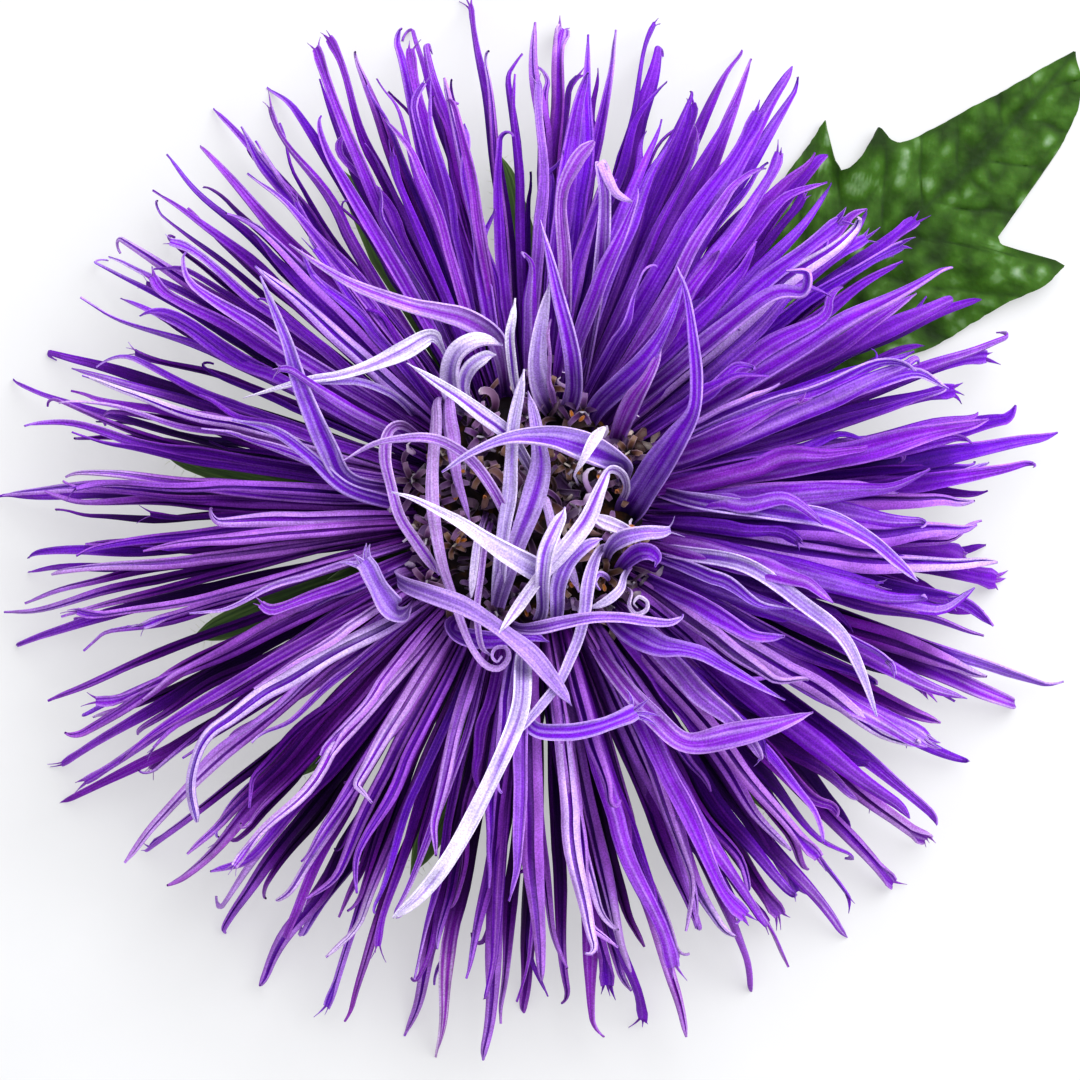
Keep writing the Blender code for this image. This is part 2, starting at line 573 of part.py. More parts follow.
def add_leaf(flower):
    """The lobed leaf, lying on its flat middle, with its edges lifted in waves."""
    read = along_midrib()
    shape = bmesh.new()
    thick = []
    rows = []
    stations = sorted({s for s, _ in LEAF_LEFT} | {s for s, _ in LEAF_RIGHT})
    for station in stations:
        place, ahead = read(station)
        row = []
        for step in range(-LEAF_ROWS, LEAF_ROWS + 1):
            outline = LEAF_LEFT if step > 0 else LEAF_RIGHT
            width = outline_width(outline, station) * abs(step) / LEAF_ROWS
            side = Vector((-ahead.y, ahead.x, 0.0)) * (1 if step > 0 else -1)
            slant = VEIN_SLANT * min(1.0, max(0.0, (station - PETIOLE_LENGTH) / 8.0))
            slant *= min(1.0, (LEAF_LENGTH - station) / 4.0)
            point = place + (side + ahead * slant) * width
            beyond = max(0.0, width - LEAF_FLAT_HALF_WIDTH)
            point.z = LEAF_WAVE * (1 - math.exp(-beyond / 5)) * (0.6 + 0.4 * math.sin(0.42 * station + step))
            row.append(shape.verts.new(point * MM))
            thick.append(min(1.0, max(0.0, 1.0 - (station - PETIOLE_LENGTH) / PETIOLE_LENGTH)))
        rows.append(row)
    for near, far in zip(rows, rows[1:]):
        for k in range(2 * LEAF_ROWS):
            shape.faces.new((near[k], near[k + 1], far[k + 1], far[k]))
    bmesh.ops.triangulate(shape, faces=shape.faces)
    bmesh.ops.recalc_face_normals(shape, faces=shape.faces)
    if sum(face.normal.z for face in shape.faces) < 0:
        bmesh.ops.reverse_faces(shape, faces=shape.faces)
    mesh = bpy.data.meshes.new("leaf")
    shape.to_mesh(mesh)
    shape.free()
    leaf = add_object("leaf", mesh, flower)
    group = leaf.vertex_groups.new(name="thickness")
    for index, weight in enumerate(thick):
        group.add([index], weight, "REPLACE")
    skin = leaf.modifiers.new("thickness", "SOLIDIFY")
    skin.thickness = PETIOLE_THICKNESS * MM
    skin.offset = 1.0
    skin.vertex_group = "thickness"
    skin.thickness_vertex_group = LEAF_THICKNESS / PETIOLE_THICKNESS
    return leaf


def build():
    clear_scene()
    flower = collection_named("china_aster")
    head = bpy.data.objects.new("head_axis", None)
    head.location = (HEAD_X * MM, HEAD_Y * MM, 0.0)
    flower.objects.link(head)
    finishes = (
        (add_stalk, "stalk_green", "5f7d3c", 0.6),
        (add_leaf, "leaf_green", "375518", 0.5),
        (add_involucre, "bract_green", "4c6d2f", 0.55),
        (add_ray_florets, "ray_violet", "6a2fbf", 0.45),
        (add_disc_florets, "disc_cream", "d8c3a0", 0.6),
    )
    for add_piece, name, colour, roughness in finishes:
        piece = add_piece(flower)
        piece.data.materials.clear()
        piece.data.materials.append(material_named(name, colour, roughness))
        piece.parent = head


build()
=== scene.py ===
"""How a fresh violet China aster head looks: it lies face up on a pale table with one leaf under it.

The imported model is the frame. Sizes are in millimetres round the head's own axis, which stands at
HEAD, and MM makes them metres. Azimuths are given in degrees from +X, the photo's right. A point
"as seen" is where the photo's camera, straight above the head, shows it.
"""

import math
import random

import bmesh
import bpy
from mathutils import Matrix, Vector, noise


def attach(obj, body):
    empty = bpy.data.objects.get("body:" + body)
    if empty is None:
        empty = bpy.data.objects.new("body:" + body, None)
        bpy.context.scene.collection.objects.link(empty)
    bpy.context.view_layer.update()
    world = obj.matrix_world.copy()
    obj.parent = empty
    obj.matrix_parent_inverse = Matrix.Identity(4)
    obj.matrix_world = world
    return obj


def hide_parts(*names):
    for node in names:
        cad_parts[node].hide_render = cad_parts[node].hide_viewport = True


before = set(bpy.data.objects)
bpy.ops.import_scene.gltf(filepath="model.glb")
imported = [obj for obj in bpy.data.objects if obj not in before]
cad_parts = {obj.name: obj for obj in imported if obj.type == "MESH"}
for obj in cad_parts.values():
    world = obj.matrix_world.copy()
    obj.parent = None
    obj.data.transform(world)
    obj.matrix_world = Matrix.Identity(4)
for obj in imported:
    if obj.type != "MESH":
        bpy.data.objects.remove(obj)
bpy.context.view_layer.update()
bpy.ops.object.select_all(action="DESELECT")

# Stalk: the cut stub that the head stands on. A green ribbed rod with soft white hairs, cut square
# at its foot, where the pale pith shows. Raised from a circle by extrusions, then ribbed.
MM = 0.001
HEAD = Vector((-1.4, 1.6, 0.0))
STALK_RINGS = [(1.75, 0.0), (2.0, 0.25), (2.05, 2.5), (1.95, 5.0), (2.15, 6.4), (2.5, 7.6), (2.55, 8.6)]
STALK_SIDES = 44
RIB_COUNT = 11
RIB_DEPTH = 0.09
PITH_HEIGHT = 0.05
STALK_HAIR_COUNT = 150
STALK_HAIR_LENGTH = 0.8
STALK_HAIR_RADIUS = 1.9
STALK_HAIR_HEIGHTS = (0.9, 7.2)
STALK_HAIR_TILTS = (-0.3, 0.6)
STALK_HAIR_SEED = 5
HAIR_THICKNESS = 0.07
HAIR_TIP_SHARE = 0.2


def polar(radius, azimuth, height):
    return Vector((radius * math.cos(azimuth), radius * math.sin(azimuth), height))


def hex_colour(code):
    """Linear RGBA from an sRGB hex code."""
    channels = [int(code[at:at + 2], 16) / 255 for at in (0, 2, 4)]
    linear = [c / 12.92 if c <= 0.04045 else ((c + 0.055) / 1.055) ** 2.4 for c in channels]
    return (*linear, 1.0)


def add_node(tree, kind, settings=None, links=None):
    """Adds a node. Settings are its own values or its inputs'. Links give what feeds an input: a
    socket, or a node for its first output in use."""
    made = tree.nodes.new("ShaderNode" + kind)
    for key, value in (settings or {}).items():
        if key == "stops":
            stops = made.color_ramp.elements
            while len(stops) < len(value):
                stops.new(1.0)
            for stop, (place, code) in zip(stops, value):
                stop.position = place
                stop.color = hex_colour(code)
        elif isinstance(key, int) or key in made.inputs:
            made.inputs[key].default_value = value
        else:
            setattr(made, key, value)
    for key, source in (links or {}).items():
        if hasattr(source, "outputs"):
            source = next(socket for socket in source.outputs if socket.enabled)
        tree.links.new(source, made.inputs[key])
    return made


def new_material(name, settings):
    """A material with its Principled shader's own values set. Returns it with its tree and shader."""
    made = bpy.data.materials.new(name)
    made.use_nodes = True
    shader = made.node_tree.nodes["Principled BSDF"]
    for key, value in settings.items():
        shader.inputs[key].default_value = value
    return made, made.node_tree, shader


def raised_circle(name, rings, sides):
    """A closed round solid on the head's axis, extruded from a filled circle through its rings."""
    radius, height = rings[0]
    bpy.ops.mesh.primitive_circle_add(vertices=sides, radius=radius * MM, fill_type="NGON",
                                      location=(HEAD + Vector((0, 0, height))) * MM)
    made = bpy.context.active_object
    made.name = name
    bpy.ops.object.mode_set(mode="EDIT")
    bpy.ops.mesh.select_mode(type="FACE")
    bpy.ops.mesh.select_all(action="SELECT")
    for (near, low), (far, high) in zip(rings, rings[1:]):
        bpy.ops.mesh.extrude_region_move(TRANSFORM_OT_translate={"value": (0, 0, (high - low) * MM)})
        bpy.ops.transform.resize(value=(far / near, far / near, 1.0))
    bpy.ops.mesh.select_all(action="SELECT")
    bpy.ops.mesh.normals_make_consistent(inside=False)
    bpy.ops.mesh.select_all(action="DESELECT")
    bpy.ops.object.mode_set(mode="OBJECT")
    bpy.ops.object.transform_apply(location=True, rotation=True, scale=True)
    bpy.ops.object.shade_smooth_by_angle(angle=math.radians(40))
    return made


def add_hair(shape, root, direction, length):
    """Adds one fine three-sided hair to a bmesh, in millimetres round the head's axis."""
    turn = direction.to_track_quat("Z", "Y").to_matrix().to_4x4()
    place = Matrix.Translation((HEAD + root + direction * (length / 2)) * MM)
    thick = HAIR_THICKNESS / 2 * MM
    bmesh.ops.create_cone(shape, cap_ends=True, segments=3, radius1=thick, radius2=HAIR_TIP_SHARE * thick,
                          depth=length * MM, matrix=place @ turn)


def object_from(name, shape, material):
    """An object in the scene from a bmesh, which is freed."""
    mesh = bpy.data.meshes.new(name)
    shape.to_mesh(mesh)
    shape.free()
    made = bpy.data.objects.new(name, mesh)
    bpy.context.scene.collection.objects.link(made)
    mesh.materials.append(material)
    return made


stalk = raised_circle("stalk_stub", STALK_RINGS, STALK_SIDES)
for vertex in stalk.data.vertices:
    out = vertex.co / MM - HEAD
    azimuth = math.atan2(out.y, out.x)
    rib = 1 + RIB_DEPTH / 2 * math.cos(RIB_COUNT * azimuth)
    vertex.co = (HEAD + Vector((out.x * rib, out.y * rib, out.z))) * MM

# Stem skin: waxy living green with paler streaks along it, and a pale pith where it is cut.
stem_skin, tree, shader = new_material("stem skin, cut green stalk", {
    "Roughness": 0.5, "IOR": 1.42, "Subsurface Weight": 0.1, "Subsurface Scale": 0.8 * MM})
place = add_node(tree, "TexCoord").outputs["Object"]
streaks = add_node(tree, "Mapping", {"Scale": (1.0, 1.0, 0.12)}, {"Vector": place})
grain = add_node(tree, "TexNoise", {"Scale": 1 / (0.6 * MM), "Detail": 3.0}, {"Vector": streaks})
greens = add_node(tree, "ValToRGB", {"stops": [(0.3, "4b6a26"), (0.55, "6f8c3e"), (0.8, "9aa866")]},
                  {"Fac": grain})
split = add_node(tree, "SeparateXYZ", {}, {"Vector": place})
cut = add_node(tree, "Math", {"operation": "LESS_THAN", 1: PITH_HEIGHT * MM}, {0: split.outputs["Z"]})
skin = add_node(tree, "Mix", {"data_type": "RGBA", 7: hex_colour("c9cf9c")}, {0: cut, 6: greens})
relief = add_node(tree, "Bump", {"Strength": 0.3, "Distance": 0.1 * MM}, {"Height": grain})
tree.links.new(skin.outputs[2], shader.inputs["Base Color"])
tree.links.new(relief.outputs["Normal"], shader.inputs["Normal"])
stalk.data.materials.append(stem_skin)
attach(stalk, "root")
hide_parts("stalk")

# Plant hair: clear white bristles, drawn a little thicker than real so that they show.
plant_hair, tree, shader = new_material("plant hair, soft white bristles", {"Roughness": 0.6})
tint = add_node(tree, "TexNoise", {"Scale": 1 / (3 * MM)})
tones = add_node(tree, "ValToRGB", {"stops": [(0.35, "b9c29a"), (0.65, "e9ebdd")]}, {"Fac": tint})
tree.links.new(tones.outputs["Color"], shader.inputs["Base Color"])
draw = random.Random(STALK_HAIR_SEED)
shape = bmesh.new()
for _ in range(STALK_HAIR_COUNT):
    azimuth = draw.uniform(0, math.tau)
    height = draw.uniform(*STALK_HAIR_HEIGHTS)
    tilt = draw.uniform(*STALK_HAIR_TILTS)
    direction = polar(math.cos(tilt), azimuth + draw.uniform(-0.3, 0.3), math.sin(tilt)).normalized()
    root = polar(STALK_HAIR_RADIUS, azimuth, height)
    add_hair(shape, root, direction, STALK_HAIR_LENGTH * draw.uniform(0.6, 1.1))
stalk_hairs = object_from("stalk_hairs", shape, plant_hair)
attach(stalk_hairs, "root")

# Leaf: one stem leaf, dark green, lobed and coarsely toothed, puckered between its sunken veins and
# given a painted grey highlight where it swells. A sheet of rows along the midrib, given its thickness by
# Solidify.
# The midrib from the stalk to the tip, and the blade's two edges: distance along it and half width.
MIDRIB = [(2.05, 1.35), (12.0, 8.2), (22.0, 15.7), (31.5, 23.0), (40.5, 31.0), (50.6, 40.8), (56.8, 48.2)]
LEAF_LEFT = [(0.0, 1.2), (11.0, 1.3), (17.0, 3.4), (24.0, 7.4), (29.5, 12.6), (35.4, 14.2), (36.6, 10.6),
             (37.8, 8.9), (39.0, 8.5), (40.6, 8.5), (42.0, 9.0), (43.4, 9.6), (44.6, 7.9), (46.0, 6.8),
             (48.0, 6.1), (52.0, 5.2), (59.4, 3.4), (66.6, 1.5), (71.4, 0.05)]
LEAF_RIGHT = [(0.0, 1.2), (11.0, 1.3), (18.0, 3.6), (24.5, 7.2), (28.5, 8.8), (32.0, 10.9), (35.5, 11.6),
              (38.6, 12.5), (41.5, 14.0), (44.4, 14.1), (44.9, 10.0), (45.4, 8.2), (46.6, 7.3), (52.4, 6.3),
              (59.2, 5.2), (64.0, 3.9), (68.4, 2.2), (71.4, 0.05)]
LEAF_LENGTH = 71.4
PETIOLE_LENGTH = 11.0
BLADE_START = 8.0
VEIN_SLANT = 0.8
LEAF_THICKNESS = 0.45
PETIOLE_THICKNESS = 1.8
LEAF_WAVE = 2.0
LEAF_FLAT_HALF_WIDTH = 5.0
LEAF_CELL = 0.42
LEAF_HALF_COLUMNS = 20
SIDE_VEIN_SPACING = 5.6
CROSS_VEIN_SPACING = 3.4
MIDRIB_HALF_WIDTH = 0.55
BLISTER_SIZE = 2.3
PUCKER = 0.5
LEAF_CLEARANCE = 0.12


def curve_through(knots, steps):
    """Points on the smooth curve through given knots."""
    held = [knots[0] * 2 - knots[1]] + knots + [knots[-1] * 2 - knots[-2]]
    spans = len(knots) - 1
    points = []
    for number in range(steps + 1):
        place = spans * number / steps
        span = min(int(place), spans - 1)
        t = place - span
        a, b, c, d = held[span:span + 4]
        points.append(0.5 * (2 * b + (c - a) * t + (2 * a - 5 * b + 4 * c - d) * t * t
                             + (3 * b - a - 3 * c + d) * t ** 3))
    return points


def read_along(points):
    """A reader of the place and the direction at a distance along a line of points."""
    run = [0.0]
    for near, far in zip(points, points[1:]):
        run.append(run[-1] + (far - near).length)

    def read(distance):
        held = min(max(distance, 0.0), run[-1] - 1e-6)
        index = max(at for at, value in enumerate(run[:-1]) if value <= held)
        ahead = (points[index + 1] - points[index]).normalized()
        return points[index] + ahead * (distance - run[index]), ahead

    return read


def between(stations, distance):
    """The value at a distance, straight between the stations."""
    for (near, near_value), (far, far_value) in zip(stations, stations[1:]):
        if near <= distance <= far:
            return near_value + (far_value - near_value) * (distance - near) / (far - near)
    return stations[-1][1] if distance > stations[-1][0] else stations[0][1]


def clamp(value, low=0.0, high=1.0):
    return max(low, min(high, value))


def smooth(value):
    held = clamp(value)
    return held * held * (3 - 2 * held)


read_midrib = read_along(curve_through([Vector((x, y, 0.0)) for x, y in MIDRIB], 60))
shape = bmesh.new()
swell_layer = shape.verts.layers.float.new("swell")
vein_layer = shape.verts.layers.float.new("vein")
rows = []
thick = []
row_count = round(LEAF_LENGTH / LEAF_CELL)
for number in range(row_count + 1):
    station = LEAF_LENGTH * number / row_count
    place, ahead = read_midrib(station)
    blade = smooth((station - PETIOLE_LENGTH) / BLADE_START)
    row = []
    for step in range(-LEAF_HALF_COLUMNS, LEAF_HALF_COLUMNS + 1):
        outline = LEAF_LEFT if step > 0 else LEAF_RIGHT
        share = abs(step) / LEAF_HALF_COLUMNS
        width = between(outline, station) * share
        left = Vector((-ahead.y, ahead.x, 0.0)) * (1 if step > 0 else -1)
        slant = VEIN_SLANT * clamp((station - PETIOLE_LENGTH) / BLADE_START)
        slant *= min(1.0, (LEAF_LENGTH - station) / 4)
        point = place + (left + ahead * slant) * width
        beyond = max(0.0, width - LEAF_FLAT_HALF_WIDTH)
        wave = LEAF_WAVE * (1 - math.exp(-beyond / 5)) * (0.6 + 0.4 * math.sin(0.42 * station + 3 * share))
        wander = noise.noise(Vector((point.x, point.y, 1.7)) / 5.0)
        along = (station + (1.5 if step > 0 else 0.0)) / SIDE_VEIN_SPACING + 0.25 * wander
        across = width / CROSS_VEIN_SPACING + 0.5 * wander + 0.37 * math.floor(along)
        near_side_vein = abs(math.sin(math.pi * along))
        near_cross_vein = abs(math.sin(math.pi * across))
        fine = noise.noise(Vector((point.x, point.y, 6.2)) / 1.5)
        gaps, _ = noise.voronoi(Vector((point.x, point.y, 0.0)) / BLISTER_SIZE)
        blister = smooth(1.6 * (gaps[1] - gaps[0]))
        cushion = near_side_vein ** 0.5 * (0.3 + 0.2 * near_cross_vein + 0.5 * blister) + 0.15 * fine
        off_midrib = smooth(width / 1.6)
        swell = clamp(cushion * off_midrib) * blade
        point.z = LEAF_CLEARANCE + wave + PUCKER * swell * (1 - 0.6 * share ** 6)
        vertex = shape.verts.new((HEAD + point) * MM)
        vertex[swell_layer] = swell
        vertex[vein_layer] = clamp(max(1 - width / MIDRIB_HALF_WIDTH, 0.75 * (1 - near_side_vein / 0.16),
                                       0.35 * (1 - near_cross_vein / 0.2)))
        thick.append(clamp(1 - (station - PETIOLE_LENGTH) / PETIOLE_LENGTH) * (1 - 0.35 * share ** 2))
        row.append(vertex)
    rows.append(row)
for near, far in zip(rows, rows[1:]):
    for k in range(2 * LEAF_HALF_COLUMNS):
        shape.faces.new((near[k], far[k], far[k + 1], near[k + 1]))
bmesh.ops.recalc_face_normals(shape, faces=shape.faces)
if sum(face.normal.z for face in shape.faces) < 0:
    bmesh.ops.reverse_faces(shape, faces=shape.faces)

# Leaf tissue: waxy dark green with random blotches, a painted grey highlight on its swellings and on the tops
# of its small bumps, and painted shade in the hollows between them and in its sunken veins.
leaf_tissue, tree, shader = new_material("leaf tissue, puckered aster leaf", {
    "Roughness": 0.6, "IOR": 1.45, "Specular IOR Level": 0.25, "Subsurface Weight": 0.06,
    "Subsurface Scale": 0.6 * MM, "Sheen Weight": 0.03, "Sheen Roughness": 0.45})
place = add_node(tree, "TexCoord").outputs["Object"]
swell = add_node(tree, "Attribute", {"attribute_name": "swell"}).outputs["Fac"]
vein = add_node(tree, "Attribute", {"attribute_name": "vein"}).outputs["Fac"]
blotch = add_node(tree, "TexNoise", {"Scale": 1 / (4.5 * MM), "Detail": 4.0}, {"Vector": place})
cells = add_node(tree, "TexVoronoi", {"Scale": 1 / (0.75 * MM)}, {"Vector": place})
# Painted light on the relief: swellings and bump tops lighten towards a grey highlight, hollows stay dark
swollen = add_node(tree, "Math", {"operation": "MULTIPLY", 1: 0.4}, {0: swell})
bumps = add_node(tree, "TexVoronoi", {"feature": "SMOOTH_F1", "Scale": 1 / (1.9 * MM)}, {"Vector": place})
bump_top_highlight = add_node(tree, "Math", {"operation": "MULTIPLY_ADD", 1: -0.38}, {0: bumps, 2: swollen})
raised = add_node(tree, "Math", {"operation": "MULTIPLY_ADD", 1: 0.85}, {0: blotch, 2: bump_top_highlight})
greens = add_node(tree, "ValToRGB", {"stops": [
    (0.2, "1a3402"), (0.38, "2d5009"), (0.52, "40681c"), (0.61, "628450"), (0.73, "93ab8e")]},
    {"Fac": raised})
# Painted shade in the sunken veins
vein_shade_share = add_node(tree, "Math", {"operation": "MULTIPLY", 1: 0.5}, {0: vein})
vein_shaded = add_node(tree, "Mix", {"data_type": "RGBA", 7: hex_colour("203a12")}, {0: vein_shade_share, 6: greens})
tree.links.new(vein_shaded.outputs[2], shader.inputs["Base Color"])
fine_relief = add_node(tree, "Bump", {"Strength": 0.35, "Distance": 0.12 * MM}, {"Height": cells})
tree.links.new(fine_relief.outputs["Normal"], shader.inputs["Normal"])
leaf = object_from("leaf_blade", shape, leaf_tissue)
group = leaf.vertex_groups.new(name="thickness")
for index, weight in enumerate(thick):
    group.add([index], weight, "REPLACE")
leaf_skin = leaf.modifiers.new("thickness", "SOLIDIFY")
leaf_skin.thickness = PETIOLE_THICKNESS * MM
leaf_skin.offset = 1.0
leaf_skin.vertex_group = "thickness"
leaf_skin.thickness_vertex_group = LEAF_THICKNESS / PETIOLE_THICKNESS
bpy.context.view_layer.objects.active = leaf
leaf.select_set(True)
bpy.ops.object.modifier_apply(modifier="thickness")
bpy.ops.object.shade_smooth_by_angle(angle=math.radians(50))
leaf.select_set(False)
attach(leaf, "root")
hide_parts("leaf")

# Involucre: the green cup under the head with its bracts, small leaves with a ridged middle. Short
# ones overlap up the cup, long ones spread under the rays, two of them further, into a gap, and
# thinner ones fill the ring between. A raised circle and lofted strips.
CUP_RINGS = [(2.6, 8.3), (4.6, 8.9), (7.4, 9.9), (9.4, 11.0), (10.8, 12.2), (11.9, 13.6), (12.2, 14.7),
             (10.5, 14.9)]
LONG_BRACT_COUNT = 13
LONG_BRACT_REACH = 39.0
LONG_BRACT_WIDTH = 4.6
LONG_BRACT_START = 7.5
FAR_BRACTS = (9, 11)
FAR_BRACT_GAIN = 4.0
MIDDLE_BRACT_COUNT = 15
MIDDLE_BRACT_REACHES = (20, 27)
MIDDLE_BRACT_WIDTH = 3.4
SHORT_BRACT_LENGTHS = (5.0, 6.6)

# Rows of short bracts from the lowest: count, root radius, root height, width, and share of a turn
SHORT_BRACT_ROWS = ((14, 6.4, 9.6, 3.4, 0.9), (16, 8.6, 11.4, 3.6, 0.6), (16, 10.6, 13.1, 3.5, 0.3))
BRACT_SEED = 11
BRACT_THICKNESS = 0.42
BRACT_HAIR_LENGTHS = (0.5, 0.8)
CUP_SIDES = 48
PLAIN_TONE = (0.0, 0.0, 0.0)

# How the leaf lifts what lies over it: where, how wide in degrees, and how high
LEAF_AZIMUTH = 38.0
LEAF_SPREAD = 26.0
LEAF_LIFT = 4.0

# Where a strip's section has points on its face and its back, in steps from its middle to its edge
SECTION_STEPS = 24
INNER_PLACES = (24, 21, 17, 12, 6)
OUTER_PLACES = (23, 19, 13, 5)
EDGE_ROLLING = 1.5
MOST_ROLLED = 222.0
LEVELLING = 0.35
TABLE_GAP = 0.05

# On a strip's map the whole way round is 1 and this length is 1, and each strip starts elsewhere
UV_LENGTH = 10.0
PATTERN_SHIFT = 1.7


def leaf_lift(azimuth):
    """How far the leaf raises what lies over it, at an azimuth in radians."""
    off = (math.degrees(azimuth) - LEAF_AZIMUTH + 180) % 360 - 180
    return LEAF_LIFT * math.exp(-(off / LEAF_SPREAD) ** 2)


def frames_along(points):
    """The directions ahead, across and out of a strip's face at each point, kept level if they can be."""
    made = []
    side = None
    for index, point in enumerate(points):
        ahead = (points[min(index + 1, len(points) - 1)] - points[max(index - 1, 0)]).normalized()
        level = ahead.cross(Vector((0, 0, 1)))
        if side is None:
            side = level if level.length > 0.1 else Vector((-point.y, point.x, 0.0))
        side = side - ahead * ahead.dot(side)
        if side.dot(level) < 0:
            level = -level
        side = side.normalized() + level * LEVELLING
        side = (side - ahead * ahead.dot(side)).normalized()
        made.append((ahead, side, side.cross(ahead)))
    return made


def half_section(bend):
    """Across, up and slope from the middle of a strip to its edge, which rolls up more and more."""
    across, up = 0.0, 0.0
    made = [(0.0, 0.0, 0.0)]
    for step in range(1, SECTION_STEPS + 1):
        slope = bend * ((step - 0.5) / SECTION_STEPS) ** EDGE_ROLLING
        across += math.cos(slope) / SECTION_STEPS
        up += math.sin(slope) / SECTION_STEPS
        made.append((across, up, bend * (step / SECTION_STEPS) ** EDGE_ROLLING))
    return made


def rolled_section(width, curl, lean, thickness):
    """Round a strip's section, for its width as seen from above: across, up, whether it is the back,
    how near the edge, and how far around."""
    halves = {}
    for side in (-1, 1):
        bend = clamp(0.5 * curl * (1 + lean * side), -MOST_ROLLED, MOST_ROLLED)
        halves[side] = half_section(math.radians(bend))
    flat = max(width - 0.8 * thickness, 0.3 * width)
    size = flat / sum(max(across for across, _, _ in half) for half in halves.values())
    flattened = size * (1 - 0.3 * clamp(abs(curl) / 300))
    places = [(-1, place, 0.0) for place in INNER_PLACES]
    places += [(1, place, 0.0) for place in INNER_PLACES[::-1]]
    places += [(1, place, 1.0) for place in OUTER_PLACES]
    places += [(-1, place, 1.0) for place in OUTER_PLACES[::-1]]
    section = []
    for side, place, face in places:
        across, up, slope = halves[side][place]
        edge = place / SECTION_STEPS
        half = thickness / 2 * (1 - 0.35 * edge ** 3) * (1 - 2 * face)
        sideways = side * (across * size - math.sin(slope) * half)
        upwards = up * flattened + math.cos(slope) * half
        around = 0.25 + 0.25 * side * edge + face * (0.5 - 0.5 * side * edge)
        section.append((sideways, upwards, face, edge, around))
    return section


class StripSet:
    """Strips gathered into one mesh, with the masks that their material reads."""

    def __init__(self):
        self.points, self.faces, self.uvs = [], [], []
        self.face_mask, self.rim_mask, self.run_mask, self.bleached, self.tones = [], [], [], [], []

    def add(self, path, widths, curls, rolls, thickness, tone, lean=0.0, bleach=0.0, shades=None):
        """Lofts one strip. Widths, curls, rolls and shades are given at each point of its path. The shades
        are painted shade: they darken the strip's brightness and fade its pale wash and bleaching.
        """
        ring_size = 2 * (len(INNER_PLACES) + len(OUTER_PLACES))
        start = len(self.points)
        shift = PATTERN_SHIFT * (start % 997)
        run = 0.0
        heights = []
        for index, (point, (ahead, side, up)) in enumerate(zip(path, frames_along(path))):
            if index:
                run += (point - path[index - 1]).length
            heights.append(run / UV_LENGTH + shift)
            share = index / (len(path) - 1)
            turn = math.radians(rolls[index])
            across_way = side * math.cos(turn) + up * math.sin(turn)
            up_way = up * math.cos(turn) - side * math.sin(turn)
            section = rolled_section(widths[index], curls[index], lean, thickness)
            ring = [point + across_way * across + up_way * rise for across, rise, _, _, _ in section]
            raised = max(0.0, TABLE_GAP - min(place.z for place in ring))
            for place, (_, _, face, edge, _) in zip(ring, section):
                place.z += raised
                self.points.append((HEAD + place) * MM)
                self.face_mask.append(face)
                # On strips curled back the rim mask is strongest along the middle, where the petal material
                # paints a highlight on the ridge
                self.rim_mask.append(edge if curls[index] > 0 else 1 - 0.8 * edge)
                self.run_mask.append(share)
                # Painted shade: it scales the brightness and fades the pale wash and bleaching where it is
                # deep
                lit = shades[index] if shades else 1.0
                self.bleached.append(bleach * smooth(lit / 0.6))
                self.tones.extend((tone[0] * smooth(lit / 0.75), tone[1], tone[2] * lit))
        for row in range(len(path) - 1):
            for k in range(ring_size):
                a = start + row * ring_size + k
                b = start + row * ring_size + (k + 1) % ring_size
                self.faces.append((a, b, b + ring_size, a + ring_size))
                u = section[k][4]
                next_u = section[k + 1][4] if k + 1 < ring_size else 1.0
                v, next_v = heights[row], heights[row + 1]
                self.uvs.extend((u, v, next_u, v, next_u, next_v, u, next_v))
        last = start + (len(path) - 1) * ring_size
        for cap, v in ((range(start + ring_size - 1, start - 1, -1), heights[0]),
                       (range(last, last + ring_size), heights[-1])):
            self.faces.append(tuple(cap))
            for k in range(ring_size):
                self.uvs.extend((section[k][4], v))

    def finish(self, name, material):
        mesh = bpy.data.meshes.new(name)
        mesh.from_pydata(self.points, [], self.faces)
        mesh.uv_layers.new(name="strip").data.foreach_set("uv", self.uvs)
        for mask, values in (("face", self.face_mask), ("rim", self.rim_mask), ("run", self.run_mask),
                             ("bleach", self.bleached)):
            mesh.attributes.new(mask, "FLOAT", "POINT").data.foreach_set("value", values)
        mesh.attributes.new("tone", "FLOAT_VECTOR", "POINT").data.foreach_set("vector", self.tones)
        mesh.materials.append(material)
        mesh.update()
        made = bpy.data.objects.new(name, mesh)
        bpy.context.scene.collection.objects.link(made)
        made.select_set(True)
        bpy.context.view_layer.objects.active = made
        bpy.ops.object.shade_smooth_by_angle(angle=math.radians(75))
        made.select_set(False)
        return made


# Bract tissue: leafy green with fine streaks along it, fading to yellow at the edges of the longer bracts and
# along the middle of the short ones, which curl back.
bract_tissue, tree, shader = new_material("bract tissue, green involucre", {
    "Roughness": 0.55, "IOR": 1.45, "Subsurface Weight": 0.08, "Subsurface Scale": 0.6 * MM,
    "Sheen Weight": 0.15, "Sheen Roughness": 0.5, "Sheen Tint": hex_colour("dfeedd")})
strip_map = add_node(tree, "UVMap", {"uv_map": "strip"})
rim = add_node(tree, "Attribute", {"attribute_name": "rim"}).outputs["Fac"]
veins = add_node(tree, "Mapping", {"Scale": (26.0, 1.2, 1.0)}, {"Vector": strip_map})
grain = add_node(tree, "TexNoise", {"Scale": 1.0, "Detail": 3.0}, {"Vector": veins})
greens = add_node(tree, "ValToRGB", {"stops": [(0.3, "263f12"), (0.5, "3f6420"), (0.75, "6d8f43")]},
                  {"Fac": grain})
narrow = add_node(tree, "Math", {"operation": "POWER", 1: 6.0}, {0: rim})
edged = add_node(tree, "Math", {"operation": "MULTIPLY", 1: 0.5}, {0: narrow})
bract_colour = add_node(tree, "Mix", {"data_type": "RGBA", 7: hex_colour("7d9a55")}, {0: edged, 6: greens})
